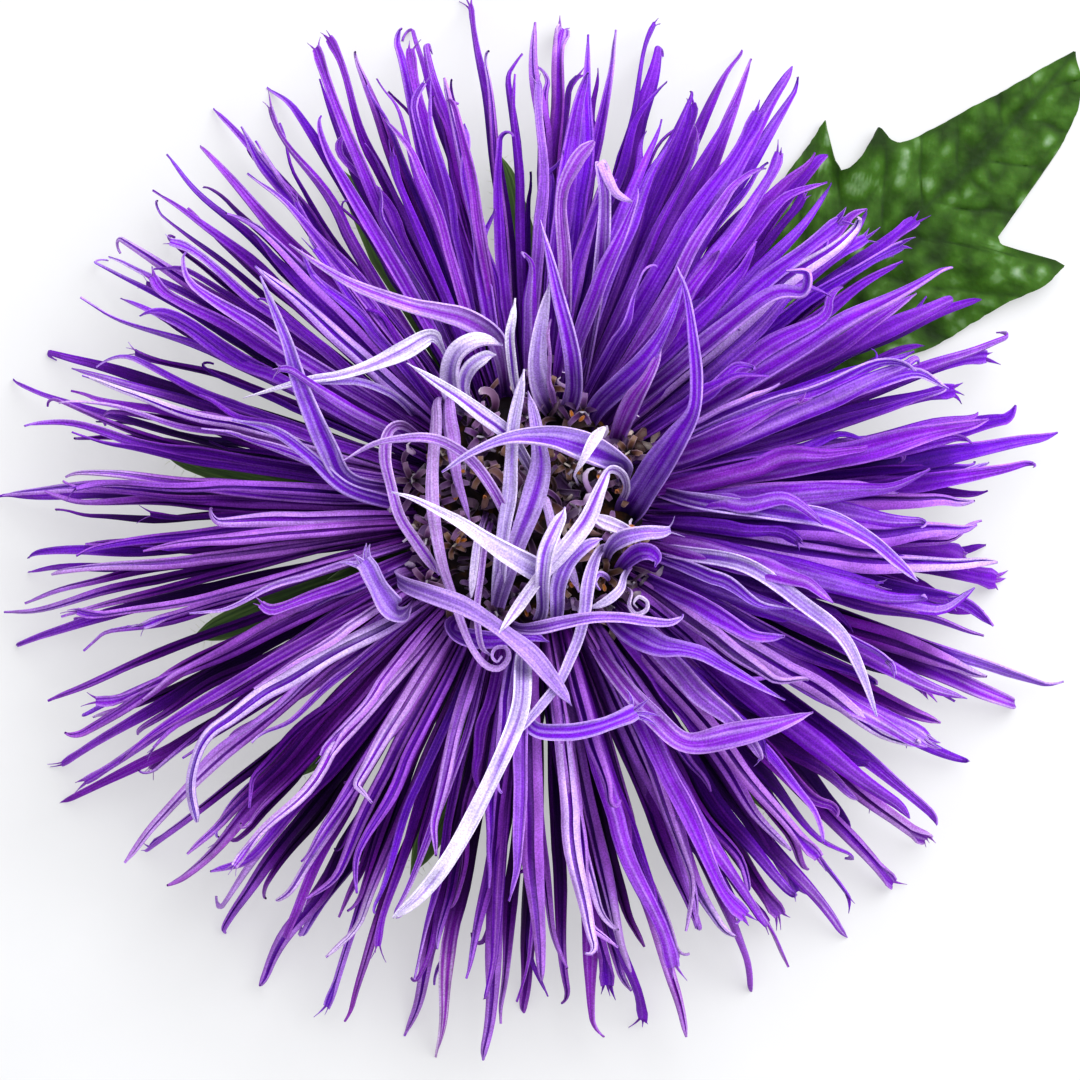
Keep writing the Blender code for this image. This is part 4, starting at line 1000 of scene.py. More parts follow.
# One seed for the florets' small waves, so that each run gives the same ones
noise.seed_set(COURSE_SEED)
draw = random.Random(COURSE_SEED)
free_tips = [Vector(tip) for tip in UPPER_LEFT_TIPS + LOWER_LEFT_TIPS + LOWER_RIGHT_TIPS + UPPER_RIGHT_TIPS]
lower_strips, upper_strips, low_fill, high_fill = (StripSet() for _ in range(4))
for seed, whorls in ((FLORET_SEED, WHORLS), (FILL_SEED, FILL_WHORLS)):
    filling = whorls is FILL_WHORLS
    for floret in whorl_florets(seed, whorls):
        floret = led_to_tip(floret, free_tips, FILL_NEARNESS if filling else NEARNESS)
        tip, _, width, end, whorl = floret[3:]
        pale = paleness(end)
        wide = 0.5 + 0.5 * math.cos(end - math.radians(WIDE_AZIMUTH))
        high = clamp(tip.z / HIGHEST_TIP)
        width *= FLORET_WIDTHS[0] + FLORET_WIDTHS[1] * wide ** 1.5 + draw.gauss(0, WIDTH_SPREAD)
        width *= FILL_WIDTH_SHARE if filling else 1.0
        if draw.random() < TUBE_SHARES[0] + TUBE_SHARES[1] * pale ** 2:
            curl, lean = draw.uniform(*TUBE_CURLS), draw.gauss(0, 0.06)
        elif draw.random() < STRAP_SHARES[0] + STRAP_SHARES[1] * wide:
            curl, lean = -draw.uniform(*STRAP_CURLS), draw.gauss(0, 0.4)
        else:
            curl, lean = draw.uniform(60, 220 - 60 * wide), draw.choice((-1, 1)) * draw.uniform(0.2, 0.8)
        washed = draw.uniform(0.0, 0.2)
        if draw.random() < (WASHED_SHARES[0] + WASHED_SHARES[1] * pale) * high ** 0.3:
            washed = draw.uniform(0.3, 0.5 + 0.5 * pale)
        if curl >= TUBE_CURLS[0]:
            washed = draw.uniform(0.2, 0.75)
        bleach = 0.5 * washed if draw.random() < 0.2 * washed else 0.0
        rosy_share = clamp(draw.gauss(0.12, 0.1) + (0.15 + 0.5 * pale) * (1 - 0.6 * high) * draw.random())
        # Brightness is random, and lower towards the lower left as painted shade on the side away from the
        # light
        tone = (washed, rosy_share, clamp(draw.gauss(0.98 - 0.15 * pale, 0.12), 0.55, 1.0))
        teeth = draw.choice(TOOTH_COUNTS)
        tip_share = draw.uniform(0.45, 0.75) if teeth else draw.uniform(0.12, 0.36)
        path = strip_path(floret, draw)
        if teeth:
            path = path[:-HOOK_STEPS + 1]
        stations = [(0, 0.6), (0.25, 1.0), (0.5, 1.0), (0.76, 0.4 + 0.5 * tip_share), (1, tip_share)]
        widths = [width * between(stations, at / (len(path) - 1)) for at in range(len(path))]
        strips = (low_fill, high_fill)[whorl > 1] if filling else (lower_strips, upper_strips)[whorl > 1]
        roll, twist = draw.gauss(0, 20), draw.gauss(0, 40)
        add_floret(strips, path, widths, curl, lean, roll, twist, teeth, tone, bleach, draw)
for name, strips in (("lower_ray_florets", lower_strips), ("upper_ray_florets", upper_strips),
                     ("slender_lower_florets", low_fill), ("slender_upper_florets", high_fill)):
    piece = strips.finish(name, petal_skin)
    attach(piece, "root")
    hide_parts("ray_florets")

# Crossing florets: inner ray florets that stand up, bend over the middle and tangle there, and some
# that lie over the rest. Made as the others are, but each placed on its own listed line.

# Each one's curl, lean of the curl to one edge, roll at the root and twist to the tip, paleness,
# rosiness, brightness and teeth, then its line from root to tip: x and y as seen, height and width
CROSSING_FLORETS = {
    "pale_strap": (60, 0, 0, 0, 1, 0, 1.05, 0, [
        (-6.9, 11.7, 18.5, 0.6), (-8.1, 14.5, 26, 0.4), (-9, 16.6, 30, 0.8), (-10, 17.4, 31.6, 1.7),
        (-12.5, 16, 32.2, 1.9), (-15.6, 14.6, 32.2, 1.5), (-19, 13.5, 31.8, 1.2),
        (-22.7, 12.9, 31.2, 0.9), (-28.7, 11.2, 30, 0.2)]),
    "spear": (110, 0.3, 0, 20, 0.45, 0, 1, 0, [
        (-12.6, 2, 18.5, 1.2), (-18.2, 3.1, 25, 1.7), (-20.3, 6.6, 29, 2), (-22.7, 12.1, 33, 1.8),
        (-24.4, 17.3, 35, 1.3), (-27, 23.4, 36, 0.3)]),
    "left_sabre": (120, 0.4, 0, 25, 0.4, 0, 1, 0, [
        (-12.4, 0.6, 18.5, 1.1), (-14.8, 1.1, 22, 1.4), (-18.6, 2.4, 26, 1.5), (-22, 5.5, 28, 1.3),
        (-25.5, 8, 28.5, 1.1), (-29.8, 9, 27.5, 0.3)]),
    "left_blade": (120, 0.2, 0, 10, 0.5, 0, 1, 0, [
        (-11.1, 8.9, 18.5, 0.6), (-12.5, 10.6, 24, 0.8), (-14.2, 11.8, 28, 0.8), (-16.8, 12.8, 30, 0.8),
        (-19, 12.9, 30.5, 0.7), (-21.8, 12.6, 30.5, 0.2)]),
    "wide_sweep": (95, 0.35, 0, -15, 0.5, 0.3, 1, 0, [
        (-2.4, 11.7, 18.5, 1.1), (-2.7, 15, 26, 1.7), (-3.6, 17.5, 29.6, 2.1), (-6.4, 19.2, 31.8, 2.2),
        (-9.2, 19.9, 32.8, 1.9), (-12.3, 20.6, 33.4, 1.5), (-17.3, 22.4, 33.6, 1.1),
        (-21.2, 24.6, 33.4, 0.7), (-24.1, 26.6, 33, 0.2)]),
    "left_arch": (80, 0.3, 0, 15, 0.55, 0.3, 0.95, 0, [
        (-1, -3.1, 22, 0.7), (-2, -1.5, 26.5, 1.1), (-3.3, 1.4, 30.3, 1.2), (-5.5, 4.6, 32.2, 1.3),
        (-7.8, 6.4, 32.9, 1.2), (-10, 7.2, 33, 1.1), (-12.5, 7.2, 32.8, 1), (-15.6, 6.6, 32.2, 0.7),
        (-18.7, 4.9, 31, 0.2)]),
    "pale_blade": (130, 0, 0, -10, 0.82, 0, 1, 0, [
        (2.5, -7.4, 20, 1), (1.7, -6.7, 27, 1.7), (0.4, -5.8, 30.8, 2.2), (-2.2, -4.4, 32.4, 1.9),
        (-4.4, -3, 33, 1.5), (-6.9, -1.3, 33.3, 1.2), (-9.5, 0.1, 33.2, 0.9), (-11.8, 1.2, 32.6, 0.6),
        (-13.8, 1.8, 32, 0.2)]),
    "top_arch": (165, -0.5, 0, 15, 0.52, 0, 1, 0, [
        (9.1, 2.8, 20, 1.4), (9.3, 4.6, 27, 1.6), (7.7, 5.2, 31.4, 2.6), (4.9, 6.2, 33.6, 3),
        (1.8, 7.1, 34.5, 2.2), (-2.2, 7.1, 34.8, 1.3), (-5.8, 5.7, 34.2, 0.8), (-8.8, 3.8, 33, 0.3)]),
    "middle_spire": (100, 0.15, 0, 15, 0.72, 0, 1, 0, [
        (-3.3, -11.3, 18.5, 1), (-3.1, -7.1, 27, 1.5), (-2.6, -2, 28.8, 1.5), (-2, 1.4, 29.7, 1.5),
        (-1.8, 5.3, 31, 1.3), (-1.6, 8.6, 32.5, 1.3), (-1, 11.7, 33.5, 1.1), (-0.6, 14.1, 34, 0.3)]),
    "middle_strap": (70, -0.2, 0, 0, 0.6, 0.08, 0.95, 0, [
        (-3.7, -11.8, 18.5, 1.3), (-2.8, -7.9, 26.5, 2), (-1.4, -3.7, 28.5, 2.2), (0.1, 0.5, 30, 2.5),
        (1, 4.2, 30.6, 2.1), (0.8, 7, 31, 1.6), (0.4, 9.5, 31.5, 1.3), (-0.2, 11.9, 32, 0.4)]),
    "upper_strap": (70, 0.1, 0, 10, 0.88, 0, 1, 0, [
        (0.6, 3, 20, 0.8), (-0.9, 5.8, 27, 1.3), (-2.4, 7.8, 31, 1.7), (-4.7, 9.5, 33, 1.8),
        (-7.1, 11.3, 33.6, 1.4), (-9.7, 13, 33.1, 1), (-12.3, 14.7, 32, 0.2)]),
    "crook": (200, 0.5, 20, 20, 0.78, 0.05, 1, 0, [
        (-5.5, 9.8, 18.5, 1.1), (-7.4, 11.2, 25, 1.7), (-7.8, 13.5, 29.4, 2), (-7.2, 15.5, 31.8, 2.1),
        (-5.6, 16.6, 32.6, 1.9), (-4.1, 16.8, 32.2, 1.3), (-2.8, 16.5, 30.6, 0.4)]),
    "crook_fold": (120, -0.3, -15, 0, 0.95, 0.05, 1, 0, [
        (-4.4, 9.2, 18.5, 0.8), (-6.3, 10.9, 25, 1.3), (-6.8, 12.8, 28, 1.7), (-6.1, 14.4, 30.2, 1.6),
        (-4.6, 15.4, 30.8, 1.3), (-3.4, 15.5, 30, 0.5)]),
    "crook_strap": (110, -0.3, 0, -10, 0.42, 0.25, 0.95, 0, [
        (-6.6, 10.6, 18.5, 0.8), (-8.1, 11.7, 25, 1.1), (-8.2, 9.5, 28, 1.4), (-7.8, 7, 29, 1.6),
        (-7.4, 3.6, 28.6, 1.2), (-6.6, 0.8, 27.4, 0.8), (-6, -1.1, 26, 0.3)]),
    "white_chip": (50, 0, 0, 0, 1, 0, 1.05, 0, [
        (4.9, 2.4, 20, 0.3), (4.6, 3.1, 28, 0.3), (4.5, 3.6, 33, 0.4), (5.3, 5, 35.4, 0.9),
        (6.4, 7, 36, 1.3), (7.5, 8.3, 35.6, 1.2)]),
    "white_post": (60, 0, 0, 0, 1, 0.05, 0.95, 0, [
        (-4.4, -0.3, 20, 0.6), (-5.2, -2.9, 26, 0.9), (-5.6, -5.7, 28.4, 1), (-5.9, -8.8, 28.8, 0.8)]),
    "mauve_post": (120, 0, 0, 0, 0.6, 0.3, 0.9, 0, [
        (-3.8, -0.9, 20, 0.5), (-4.5, -3.4, 26, 0.7), (-4.9, -6.5, 28, 0.7), (-5.3, -9.6, 28, 0.7),
        (-5.2, -11.8, 27.6, 0.7), (-4.8, -13.7, 27.6, 0.6), (-4, -14.5, 27.9, 0.4)]),
    "long_curl": (100, 0.2, 0, 40, 0.55, 0.2, 0.95, 0, [
        (-7.6, 9.6, 18.5, 0.7), (-9.3, 11.1, 26, 1.1), (-9.4, 8.6, 29.5, 1.4), (-9.7, 4.7, 30.6, 1.2),
        (-9.7, 0.8, 30.9, 1.3), (-9.2, -3.1, 30.5, 1.2), (-8.5, -6.2, 29.3, 1.1), (-7.6, -8.8, 27.6, 1),
        (-6.8, -11.3, 27.2, 1), (-5.8, -13.7, 27.4, 0.9), (-4.5, -15.4, 27.6, 0.9),
        (-3.1, -15.8, 27.8, 0.8), (-2.2, -14.8, 28, 0.8), (-2.4, -13.8, 28.2, 0.7),
        (-3.4, -13.8, 28.4, 0.7), (-3.8, -14.6, 28.6, 0.6), (-3.3, -15.2, 28.8, 0.5),
        (-2.8, -14.6, 29, 0.3)]),
    "left_bow": (100, -0.3, 0, 0, 0.62, 0.35, 0.92, 0, [
        (-10.6, 7, 18.5, 0.7), (-12.8, 8.5, 25, 1), (-14.2, 7.8, 28, 1.2), (-14.5, 5.3, 29.3, 1.3),
        (-13.9, 2.5, 29.6, 1.2), (-13, -0.6, 29.4, 1.2), (-11.4, -3.1, 28.8, 1.2), (-10, -5.1, 28, 1),
        (-9.1, -6.5, 27, 0.3)]),
    "lower_strap": (60, 0.15, 180, 10, 0.6, 0, 0.85, 0, [
        (-11.6, -6.1, 19, 0.8), (-13.2, -6.6, 25, 1.4), (-12.4, -7.5, 28.6, 1.7), (-9.7, -8.5, 30.6, 1.9),
        (-6.9, -9.5, 31.2, 2), (-4.4, -10.9, 31.2, 1.7), (-2.2, -12.5, 31, 1.7), (0.1, -14.4, 30.4, 2.1),
        (1.9, -16.5, 29.8, 1.9), (3.3, -18.3, 29, 1.3), (4.2, -19.6, 28.4, 0.4)]),
    "lobed_tip": (170, 0, 0, 0, 0.52, 0.05, 0.95, 4, [
        (-11.6, -8.9, 20, 0.3), (-12.3, -10, 24, 0.8), (-13.2, -10.5, 26.4, 2), (-14, -9.7, 28, 2.6),
        (-14.7, -8.5, 29, 2.3), (-15.5, -7.1, 30, 1.7), (-16.2, -5.7, 30.6, 1.4),
        (-16.7, -5.1, 30.8, 1.6)]),
    "low_band": (90, 0, 0, 0, 0.25, 0.1, 0.9, 0, [
        (-6.6, -10.2, 18.5, 1), (-8, -11.7, 23, 1.7), (-6.9, -12.7, 26, 2), (-4.4, -13, 27, 1.9),
        (-2.2, -12.9, 27.4, 1.5), (0.1, -12.6, 27, 1.2), (1.9, -13.2, 26, 0.4)]),
    "right_reach": (130, 0.3, 0, 0, 0.48, 0.08, 0.9, 0, [
        (-2.2, -11.3, 18.5, 1), (-1, -11.9, 27, 1.2), (0.9, -11.9, 30.8, 1.4), (3.5, -11.3, 31.6, 1.3),
        (6.3, -10.8, 31.8, 1.2), (9.1, -10.8, 31.6, 1.1), (11.9, -11.2, 31, 1), (13.9, -11.3, 30.4, 0.8),
        (15.1, -10.8, 30.2, 0.6), (15.3, -10.4, 30.2, 0.3)]),
    "down_string": (120, -0.3, 0, 30, 0.6, 0.05, 1, 0, [
        (8.1, -3.7, 19, 0.7), (7, -4, 26, 1.1), (6.3, -5.4, 29, 1.3), (5.8, -7.6, 29.6, 1.4),
        (5.5, -10.2, 29.4, 1.2), (4.9, -12.7, 29.2, 1.1), (4, -14.9, 29, 1.1), (2.9, -17.2, 28.8, 1),
        (1.2, -19.4, 28.6, 1), (-0.2, -21.1, 28.2, 0.8), (-1.1, -22.5, 27.8, 0.3)]),
    "cross_strap": (100, 0.2, 0, 20, 0.85, 0.1, 1, 0, [
        (9.1, 0.7, 20, 0.7), (9.7, 2.2, 27, 0.9), (9.2, 3.7, 30.6, 1.1), (7.9, 4.1, 32.4, 1.2),
        (7, 2.3, 33.2, 1.4), (5.6, -1, 33.2, 1.7), (3.3, -4, 33, 1.8), (0.6, -7.1, 32.2, 1.3),
        (-1.5, -10, 31.7, 1.2), (-3.2, -12.5, 31.2, 0.3)]),
    "middle_spur": (100, 0.25, 0, 0, 0.7, 0, 1, 0, [
        (0.6, -11.6, 18.5, 1), (1.3, -9.9, 27, 1.4), (1.3, -7.1, 32.8, 1.5), (1.6, -4.3, 34.5, 1.7),
        (2.5, -2, 34.8, 1.5), (3.2, -0.6, 34.8, 1.1), (3.5, 0.3, 34.6, 0.3)]),
    "side_spur": (100, -0.25, 0, 0, 0.52, 0, 1, 0, [
        (2.5, -11.8, 18.5, 1), (2.7, -9.9, 27, 1.5), (2.8, -7.4, 29.6, 1.7), (3.8, -5.1, 31, 1.6),
        (5.4, -3.7, 31.8, 1.2), (6.6, -3.1, 31.8, 0.9), (7.2, -2.9, 31.4, 0.3)]),
    "back_spur": (140, 0, 0, 0, 0.7, 0, 0.95, 0, [
        (0.6, -1.5, 20, 0.7), (1.3, 1.4, 24, 1), (1.8, 0.2, 26, 1), (2.6, -3.1, 26.5, 1),
        (4, -5.9, 26.5, 1), (4.9, -8.2, 25.5, 0.3)]),
    "pale_lobe": (60, 0, 0, 0, 0.95, 0.2, 1, 0, [
        (11.2, -3.7, 20, 0.4), (10.5, -2.5, 26, 0.7), (9.1, -1.8, 28.8, 1.3), (7.5, -1.2, 29.4, 1.5),
        (6.3, -0.7, 29.4, 0.8), (5.7, -0.6, 29, 0.3)]),
    "inner_hook": (90, 0.3, 0, 0, 0.7, 0.05, 1, 0, [
        (10.1, -5.6, 20, 0.5), (9.4, -6.6, 26, 0.7), (9, -7.9, 28.6, 0.9), (7.8, -9, 29, 1),
        (6.4, -9.7, 28.6, 0.6), (5.9, -9.8, 28, 0.2)]),
    "small_hook": (90, 0, 0, 0, 0.5, 0.15, 1, 0, [
        (8.1, -7.4, 20, 0.4), (7.6, -6.6, 26, 0.6), (6.9, -6.4, 27.5, 0.7), (6.4, -7.1, 28, 0.7),
        (7, -8, 27.5, 0.3)]),
    "violet_lobe": (120, 0, 0, 0, 0.55, 0.05, 1, 2, [
        (7.4, -5.5, 19, 0.8), (7.9, -3.9, 26, 1.2), (9.1, -2.8, 28.6, 1.6), (11.2, -2.3, 29.6, 1.3),
        (13.1, -2.2, 29.4, 0.9), (14, -2, 29, 0.7)]),
    "violet_roll": (120, 0, 0, 0, 0.15, 0.1, 0.9, 0, [
        (8.6, -6.6, 19, 1), (9.5, -5.2, 25, 1.5), (10.8, -4.2, 27, 1.7), (12, -4.2, 27.4, 1.5),
        (12.7, -4.9, 26.8, 1), (12.5, -5.7, 26.4, 0.3)]),
    "pink_curl": (60, 0, 0, 20, 0.95, 0.3, 1, 0, [
        (9.1, -7.4, 19, 0.4), (10.1, -8.2, 24, 0.5), (9.9, -9.5, 26.5, 0.6), (10.6, -10.4, 27.4, 0.7),
        (11.6, -10, 27.8, 0.7), (11.7, -9.2, 28, 0.6), (10.9, -8.7, 28.2, 0.6), (10.4, -9.3, 28.4, 0.5),
        (10.8, -9.8, 28.6, 0.3)]),
    "upper_spear": (110, 0.3, 0, 0, 1, 0, 1, 0, [
        (-0.6, 10.2, 18.5, 0.8), (-1.4, 12.2, 26, 1), (-1.8, 14.8, 30, 1.1), (-2, 17.4, 32.4, 1),
        (-1.7, 19.3, 33.4, 0.8), (-1.5, 21.2, 33.6, 0.2)]),
    "upper_strand": (100, 0, 0, 0, 0.6, 0.5, 0.95, 0, [
        (2.6, 9.8, 20, 0.4), (2.2, 11.7, 25, 0.7), (1.9, 13, 27, 0.5), (2, 15.4, 30, 0.4),
        (1.8, 17.6, 31.6, 0.4), (2.1, 19.1, 32, 0.2)]),
    "right_sail": (75, 0.45, 0, 25, 0.2, 0, 1.1, 0, [
        (9.8, -0.6, 18.5, 2.5), (10.6, 0.9, 23, 3.1), (12.7, 4.2, 28, 3.2), (14.8, 7.2, 31.5, 2.5),
        (16.4, 9.9, 33.5, 1.6), (16.7, 13.4, 34.6, 1.5), (16.4, 16.8, 35.3, 1.2), (15.9, 20.4, 35.8, 0.9),
        (15.4, 22.5, 36, 0.6), (14.7, 24.3, 36, 0.2)]),
    "right_wing": (70, -0.4, 0, 10, 0.15, 0, 1, 0, [
        (5.4, 8.2, 18.5, 1.6), (7, 10.6, 24, 2.4), (9.1, 12.6, 27.5, 2.4), (11.2, 14.7, 30.5, 2),
        (12.7, 16.8, 32.4, 1.6), (14, 19.3, 33.6, 1.2), (14.9, 21.7, 34, 0.7), (15.4, 23.4, 34, 0.2)]),
    "rosy_wing": (90, 0.4, 0, 0, 0.35, 0.45, 1, 0, [
        (8.5, 6.3, 18.5, 1.3), (9.4, 8.9, 25, 1.9), (10.5, 11.2, 28.5, 1.9), (11.6, 12.9, 30.4, 1.4),
        (12.6, 14.9, 31.6, 1), (13.2, 16.4, 32, 0.2)]),
    "upper_sail": (100, 0.4, 0, 10, 0.35, 0.05, 1.05, 0, [
        (3.5, 9.1, 18.5, 1.6), (4.5, 11.7, 25, 1.9), (4.4, 14.8, 29.5, 1.9), (3.8, 17.9, 32, 1.7),
        (3, 21, 33.2, 1.4), (2.1, 24.9, 33.6, 0.9), (1, 29, 33.2, 0.2)]),
    "upper_fold": (110, -0.4, 0, 0, 0.66, 0.1, 1, 0, [
        (2, 9.6, 18.5, 1.3), (1, 11.7, 25, 2), (0.6, 14.5, 28.5, 2), (0.9, 17.6, 30.4, 1.6),
        (1.4, 20.2, 31.6, 1.1), (2, 22.7, 32, 0.2)]),
    "right_drape": (80, 0.3, 0, 20, 0.2, 0, 0.95, 0, [
        (7.8, -10.3, 18.5, 1.3), (9.2, -11.7, 24, 2.2), (11.3, -12.9, 27.6, 2.8),
        (13.3, -13.7, 28.8, 2.4), (15.2, -13.9, 29.4, 1.8), (17.2, -14.4, 29.6, 1.6),
        (19.2, -15.5, 29.2, 1.4), (21, -16.5, 28.8, 1.2), (23.1, -17.7, 28, 0.8), (25.5, -19, 27, 0.2)]),
    "kinked": (100, 0.4, 0, 0, 0.42, 0.3, 0.95, 0, [
        (5.5, -12, 18.5, 1.3), (8.5, -16.5, 25, 1.8), (12.5, -21, 27.6, 2), (15.8, -23.4, 28.4, 2.1),
        (20.5, -22.6, 29, 2.4), (25, -21.4, 28.6, 1.7), (28.3, -20.2, 27.8, 0.4)]),
    "forked": (110, 0.2, 0, 0, 0.35, 0, 1, 4, [
        (-0.6, -12.5, 18.5, 1.3), (-1, -18, 24, 1.4), (0.2, -21.8, 26.6, 1.6), (3.5, -22.3, 28, 1.7),
        (6.5, -21.8, 28.8, 1.6), (9.2, -20.8, 29.2, 1.3), (10.6, -20.1, 29.2, 1.5)]),
    "long_pale": (110, 0.3, 0, 15, 0.85, 0, 1, 0, [
        (-0.4, -12.5, 18.5, 1.2), (-0.8, -15.2, 27, 1.7), (-1, -19.5, 31, 1.9), (-2.4, -23.5, 32, 1.7),
        (-5, -29, 32, 1.7), (-8, -34.5, 31.4, 1.7), (-11, -38.4, 30.4, 1.6), (-13.7, -40.8, 29.6, 0.9)]),
    "left_hook": (400, 0, 0, 0, 0.58, 0, 0.95, 0, [
        (-9.2, -8.4, 18.5, 1), (-14, -11.4, 23.5, 1.5), (-19.6, -14.2, 28, 1.7),
        (-23.8, -16.8, 29.4, 1.7), (-26.6, -18.3, 30, 1.6), (-29.8, -20.7, 30.2, 1.4),
        (-31.9, -22.2, 30, 1.2), (-33.2, -24.3, 29.4, 1), (-33.9, -27.6, 28, 1),
        (-33.3, -31.2, 26.4, 0.9)]),
    "right_bow": (190, 0.4, 0, 0, 0.6, 0, 1, 0, [
        (12, -3.8, 18.5, 1.1), (15, -4.4, 22.5, 1.5), (21.7, -5.7, 28, 1.7), (27.8, -9.9, 30, 1.6),
        (31, -12.6, 29.8, 1.4), (33, -16.1, 28.4, 1.1), (34.7, -20.6, 26, 0.4)]),
    "right_tip": (180, 0.4, 0, 0, 0.4, 0, 1, 0, [
        (12.3, 1.9, 18.5, 1.2), (17, 0.7, 25, 1.7), (24, -0.2, 28.8, 1.9), (29.6, -1, 29.6, 1.9),
        (33.8, -2.9, 29.6, 1.5), (36.6, -5.2, 29, 1.2), (38.8, -7.1, 28.2, 0.5)]),
    "ring_curl": (130, 0.3, 0, 60, 0.2, 0.1, 1, 0, [
        (8.6, 9.2, 18.5, 1.3), (17, 16, 26.5, 2), (24, 21.2, 29, 2), (27.4, 21.6, 29.6, 1.7),
        (27.8, 23.8, 30.2, 1.3), (25.6, 23.9, 30.4, 0.6)]),
    "rosy_blunt": (150, 0.3, 0, 0, 0.45, 0.4, 0.95, 0, [
        (3.5, 12.8, 18.5, 1.2), (3.6, 24, 27, 1.5), (3.2, 31, 29.6, 1.1), (4.6, 34.6, 30.4, 1.5),
        (6.4, 36.9, 30.4, 1.2)]),
    "drooping": (150, 0, 0, 0, 0.42, 0.1, 1, 0, [
        (5, 12.2, 18.5, 1.2), (7, 24, 26.5, 1.5), (7.5, 31, 29.6, 1.3), (7.1, 34.8, 30.8, 1.2),
        (7.9, 33, 30.6, 1.1), (8.7, 31.6, 30, 0.9), (10.4, 30.7, 29.4, 0.4)]),
}
CROSSING_STEPS = 48

# Curls between these, in degrees, are drawn deeper, so that the edges show
SHALLOW_CURLS = (70, 170)
CURL_GAIN = 1.35
crossing = StripSet()
for curl, lean, roll, twist, pale, warm, bright, teeth, knots in CROSSING_FLORETS.values():
    path = curve_through([from_above((x, y, height)) for x, y, height, _ in knots], CROSSING_STEPS)
    widths = [clamp(value.x, 0.1, 4.0) for value in
              curve_through([Vector((width, 0.0)) for _, _, _, width in knots], CROSSING_STEPS)]
    bleach = smooth((pale - 0.35) / 0.5) if curl < TUBE_CURLS[0] else 0.0
    if SHALLOW_CURLS[0] < curl < SHALLOW_CURLS[1]:
        curl *= CURL_GAIN
    add_floret(crossing, path, widths, curl, lean, roll, twist, teeth, (pale, warm, bright), bleach, draw)
crossing_florets = crossing.finish("crossing_florets", petal_skin)
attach(crossing_florets, "root")
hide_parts("ray_florets")

# Disc florets: the small tubes that fill the middle, each with five lobes curled back, some cream and
# some lavender, and among them short narrow ribbons, all rolled and bent, with grains of orange pollen.
# Lofted strips, rooted in the receptacle's dish.
GOLDEN_ANGLE = math.radians(137.508)
TUBE_RADII = (4.5, 11.9)
TUBE_COUNT = 34
RIBBON_COUNT = 200
POLLEN_COUNT = 46
DISC_SEED = 3
DISH_HEIGHT = 20.0
TUBE_HEIGHTS = (1.8, 3.2)
CREAM_SHARE = 0.3
LOBE_COUNT = 5
LOBE_REACHES = (0.7, 1.5)
LOBE_THICKNESS = 0.14
RIBBON_RADII = (1.0, 12.6)
RIBBON_STEPS = 12
RIBBON_LENGTHS = (3.5, 8.5)
RIBBON_BENDS = (20, 62)
RIBBON_WIDTHS = (0.45, 1.15)
RIBBON_TOP = 27.0
POLLEN_RADII = (4.0, 11.0)
POLLEN_HEIGHTS = (21.5, 23.5)
GRAIN_LENGTH = 0.84

# Disc skin: thin and soft, darker and browner towards the foot of each piece, their own colour deepened by
# painted shade down among the crowded florets, and palest at the rims of the lobes.
disc_skin, tree, shader = new_material("petal skin, cream and lavender disc floret", {
    "Roughness": 0.5, "IOR": 1.4, "Subsurface Weight": 0.15, "Subsurface Radius": (1.0, 0.7, 0.8),
    "Subsurface Scale": 0.5 * MM, "Sheen Weight": 0.15, "Sheen Roughness": 0.4})
rim, run_share = (add_node(tree, "Attribute", {"attribute_name": name}).outputs["Fac"]
                  for name in ("rim", "run"))
tone = add_node(tree, "Attribute", {"attribute_name": "tone"}).outputs["Vector"]
creamy, yellow, lighter = add_node(tree, "SeparateXYZ", {}, {"Vector": tone}).outputs
lavender = add_node(tree, "ValToRGB", {"stops": [
    (0.0, "24082a"), (0.35, "68387c"), (0.7, "b28eca"), (1.0, "efe4f8")]}, {"Fac": run_share})
cream = add_node(tree, "ValToRGB", {"stops": [
    (0.0, "24120a"), (0.35, "6a4630"), (0.7, "bc9c84"), (1.0, "f2e6da")]}, {"Fac": run_share})
either = add_node(tree, "Mix", {"data_type": "RGBA"}, {0: creamy, 6: lavender, 7: cream})
pollen = add_node(tree, "Mix", {"data_type": "RGBA", 7: hex_colour("c8800e")}, {0: yellow, 6: either})
near_rim = add_node(tree, "Math", {"operation": "POWER", 1: 4.0}, {0: rim})
rim_share = add_node(tree, "Math", {"operation": "MULTIPLY", 1: 0.3}, {0: near_rim})
rimmed = add_node(tree, "Mix", {"data_type": "RGBA", 7: hex_colour("c4a8c8")}, {0: rim_share, 6: pollen})
disc_colour = add_node(tree, "VectorMath", {"operation": "SCALE"}, {0: rimmed, "Scale": lighter})
tree.links.new(disc_colour.outputs["Vector"], shader.inputs["Base Color"])

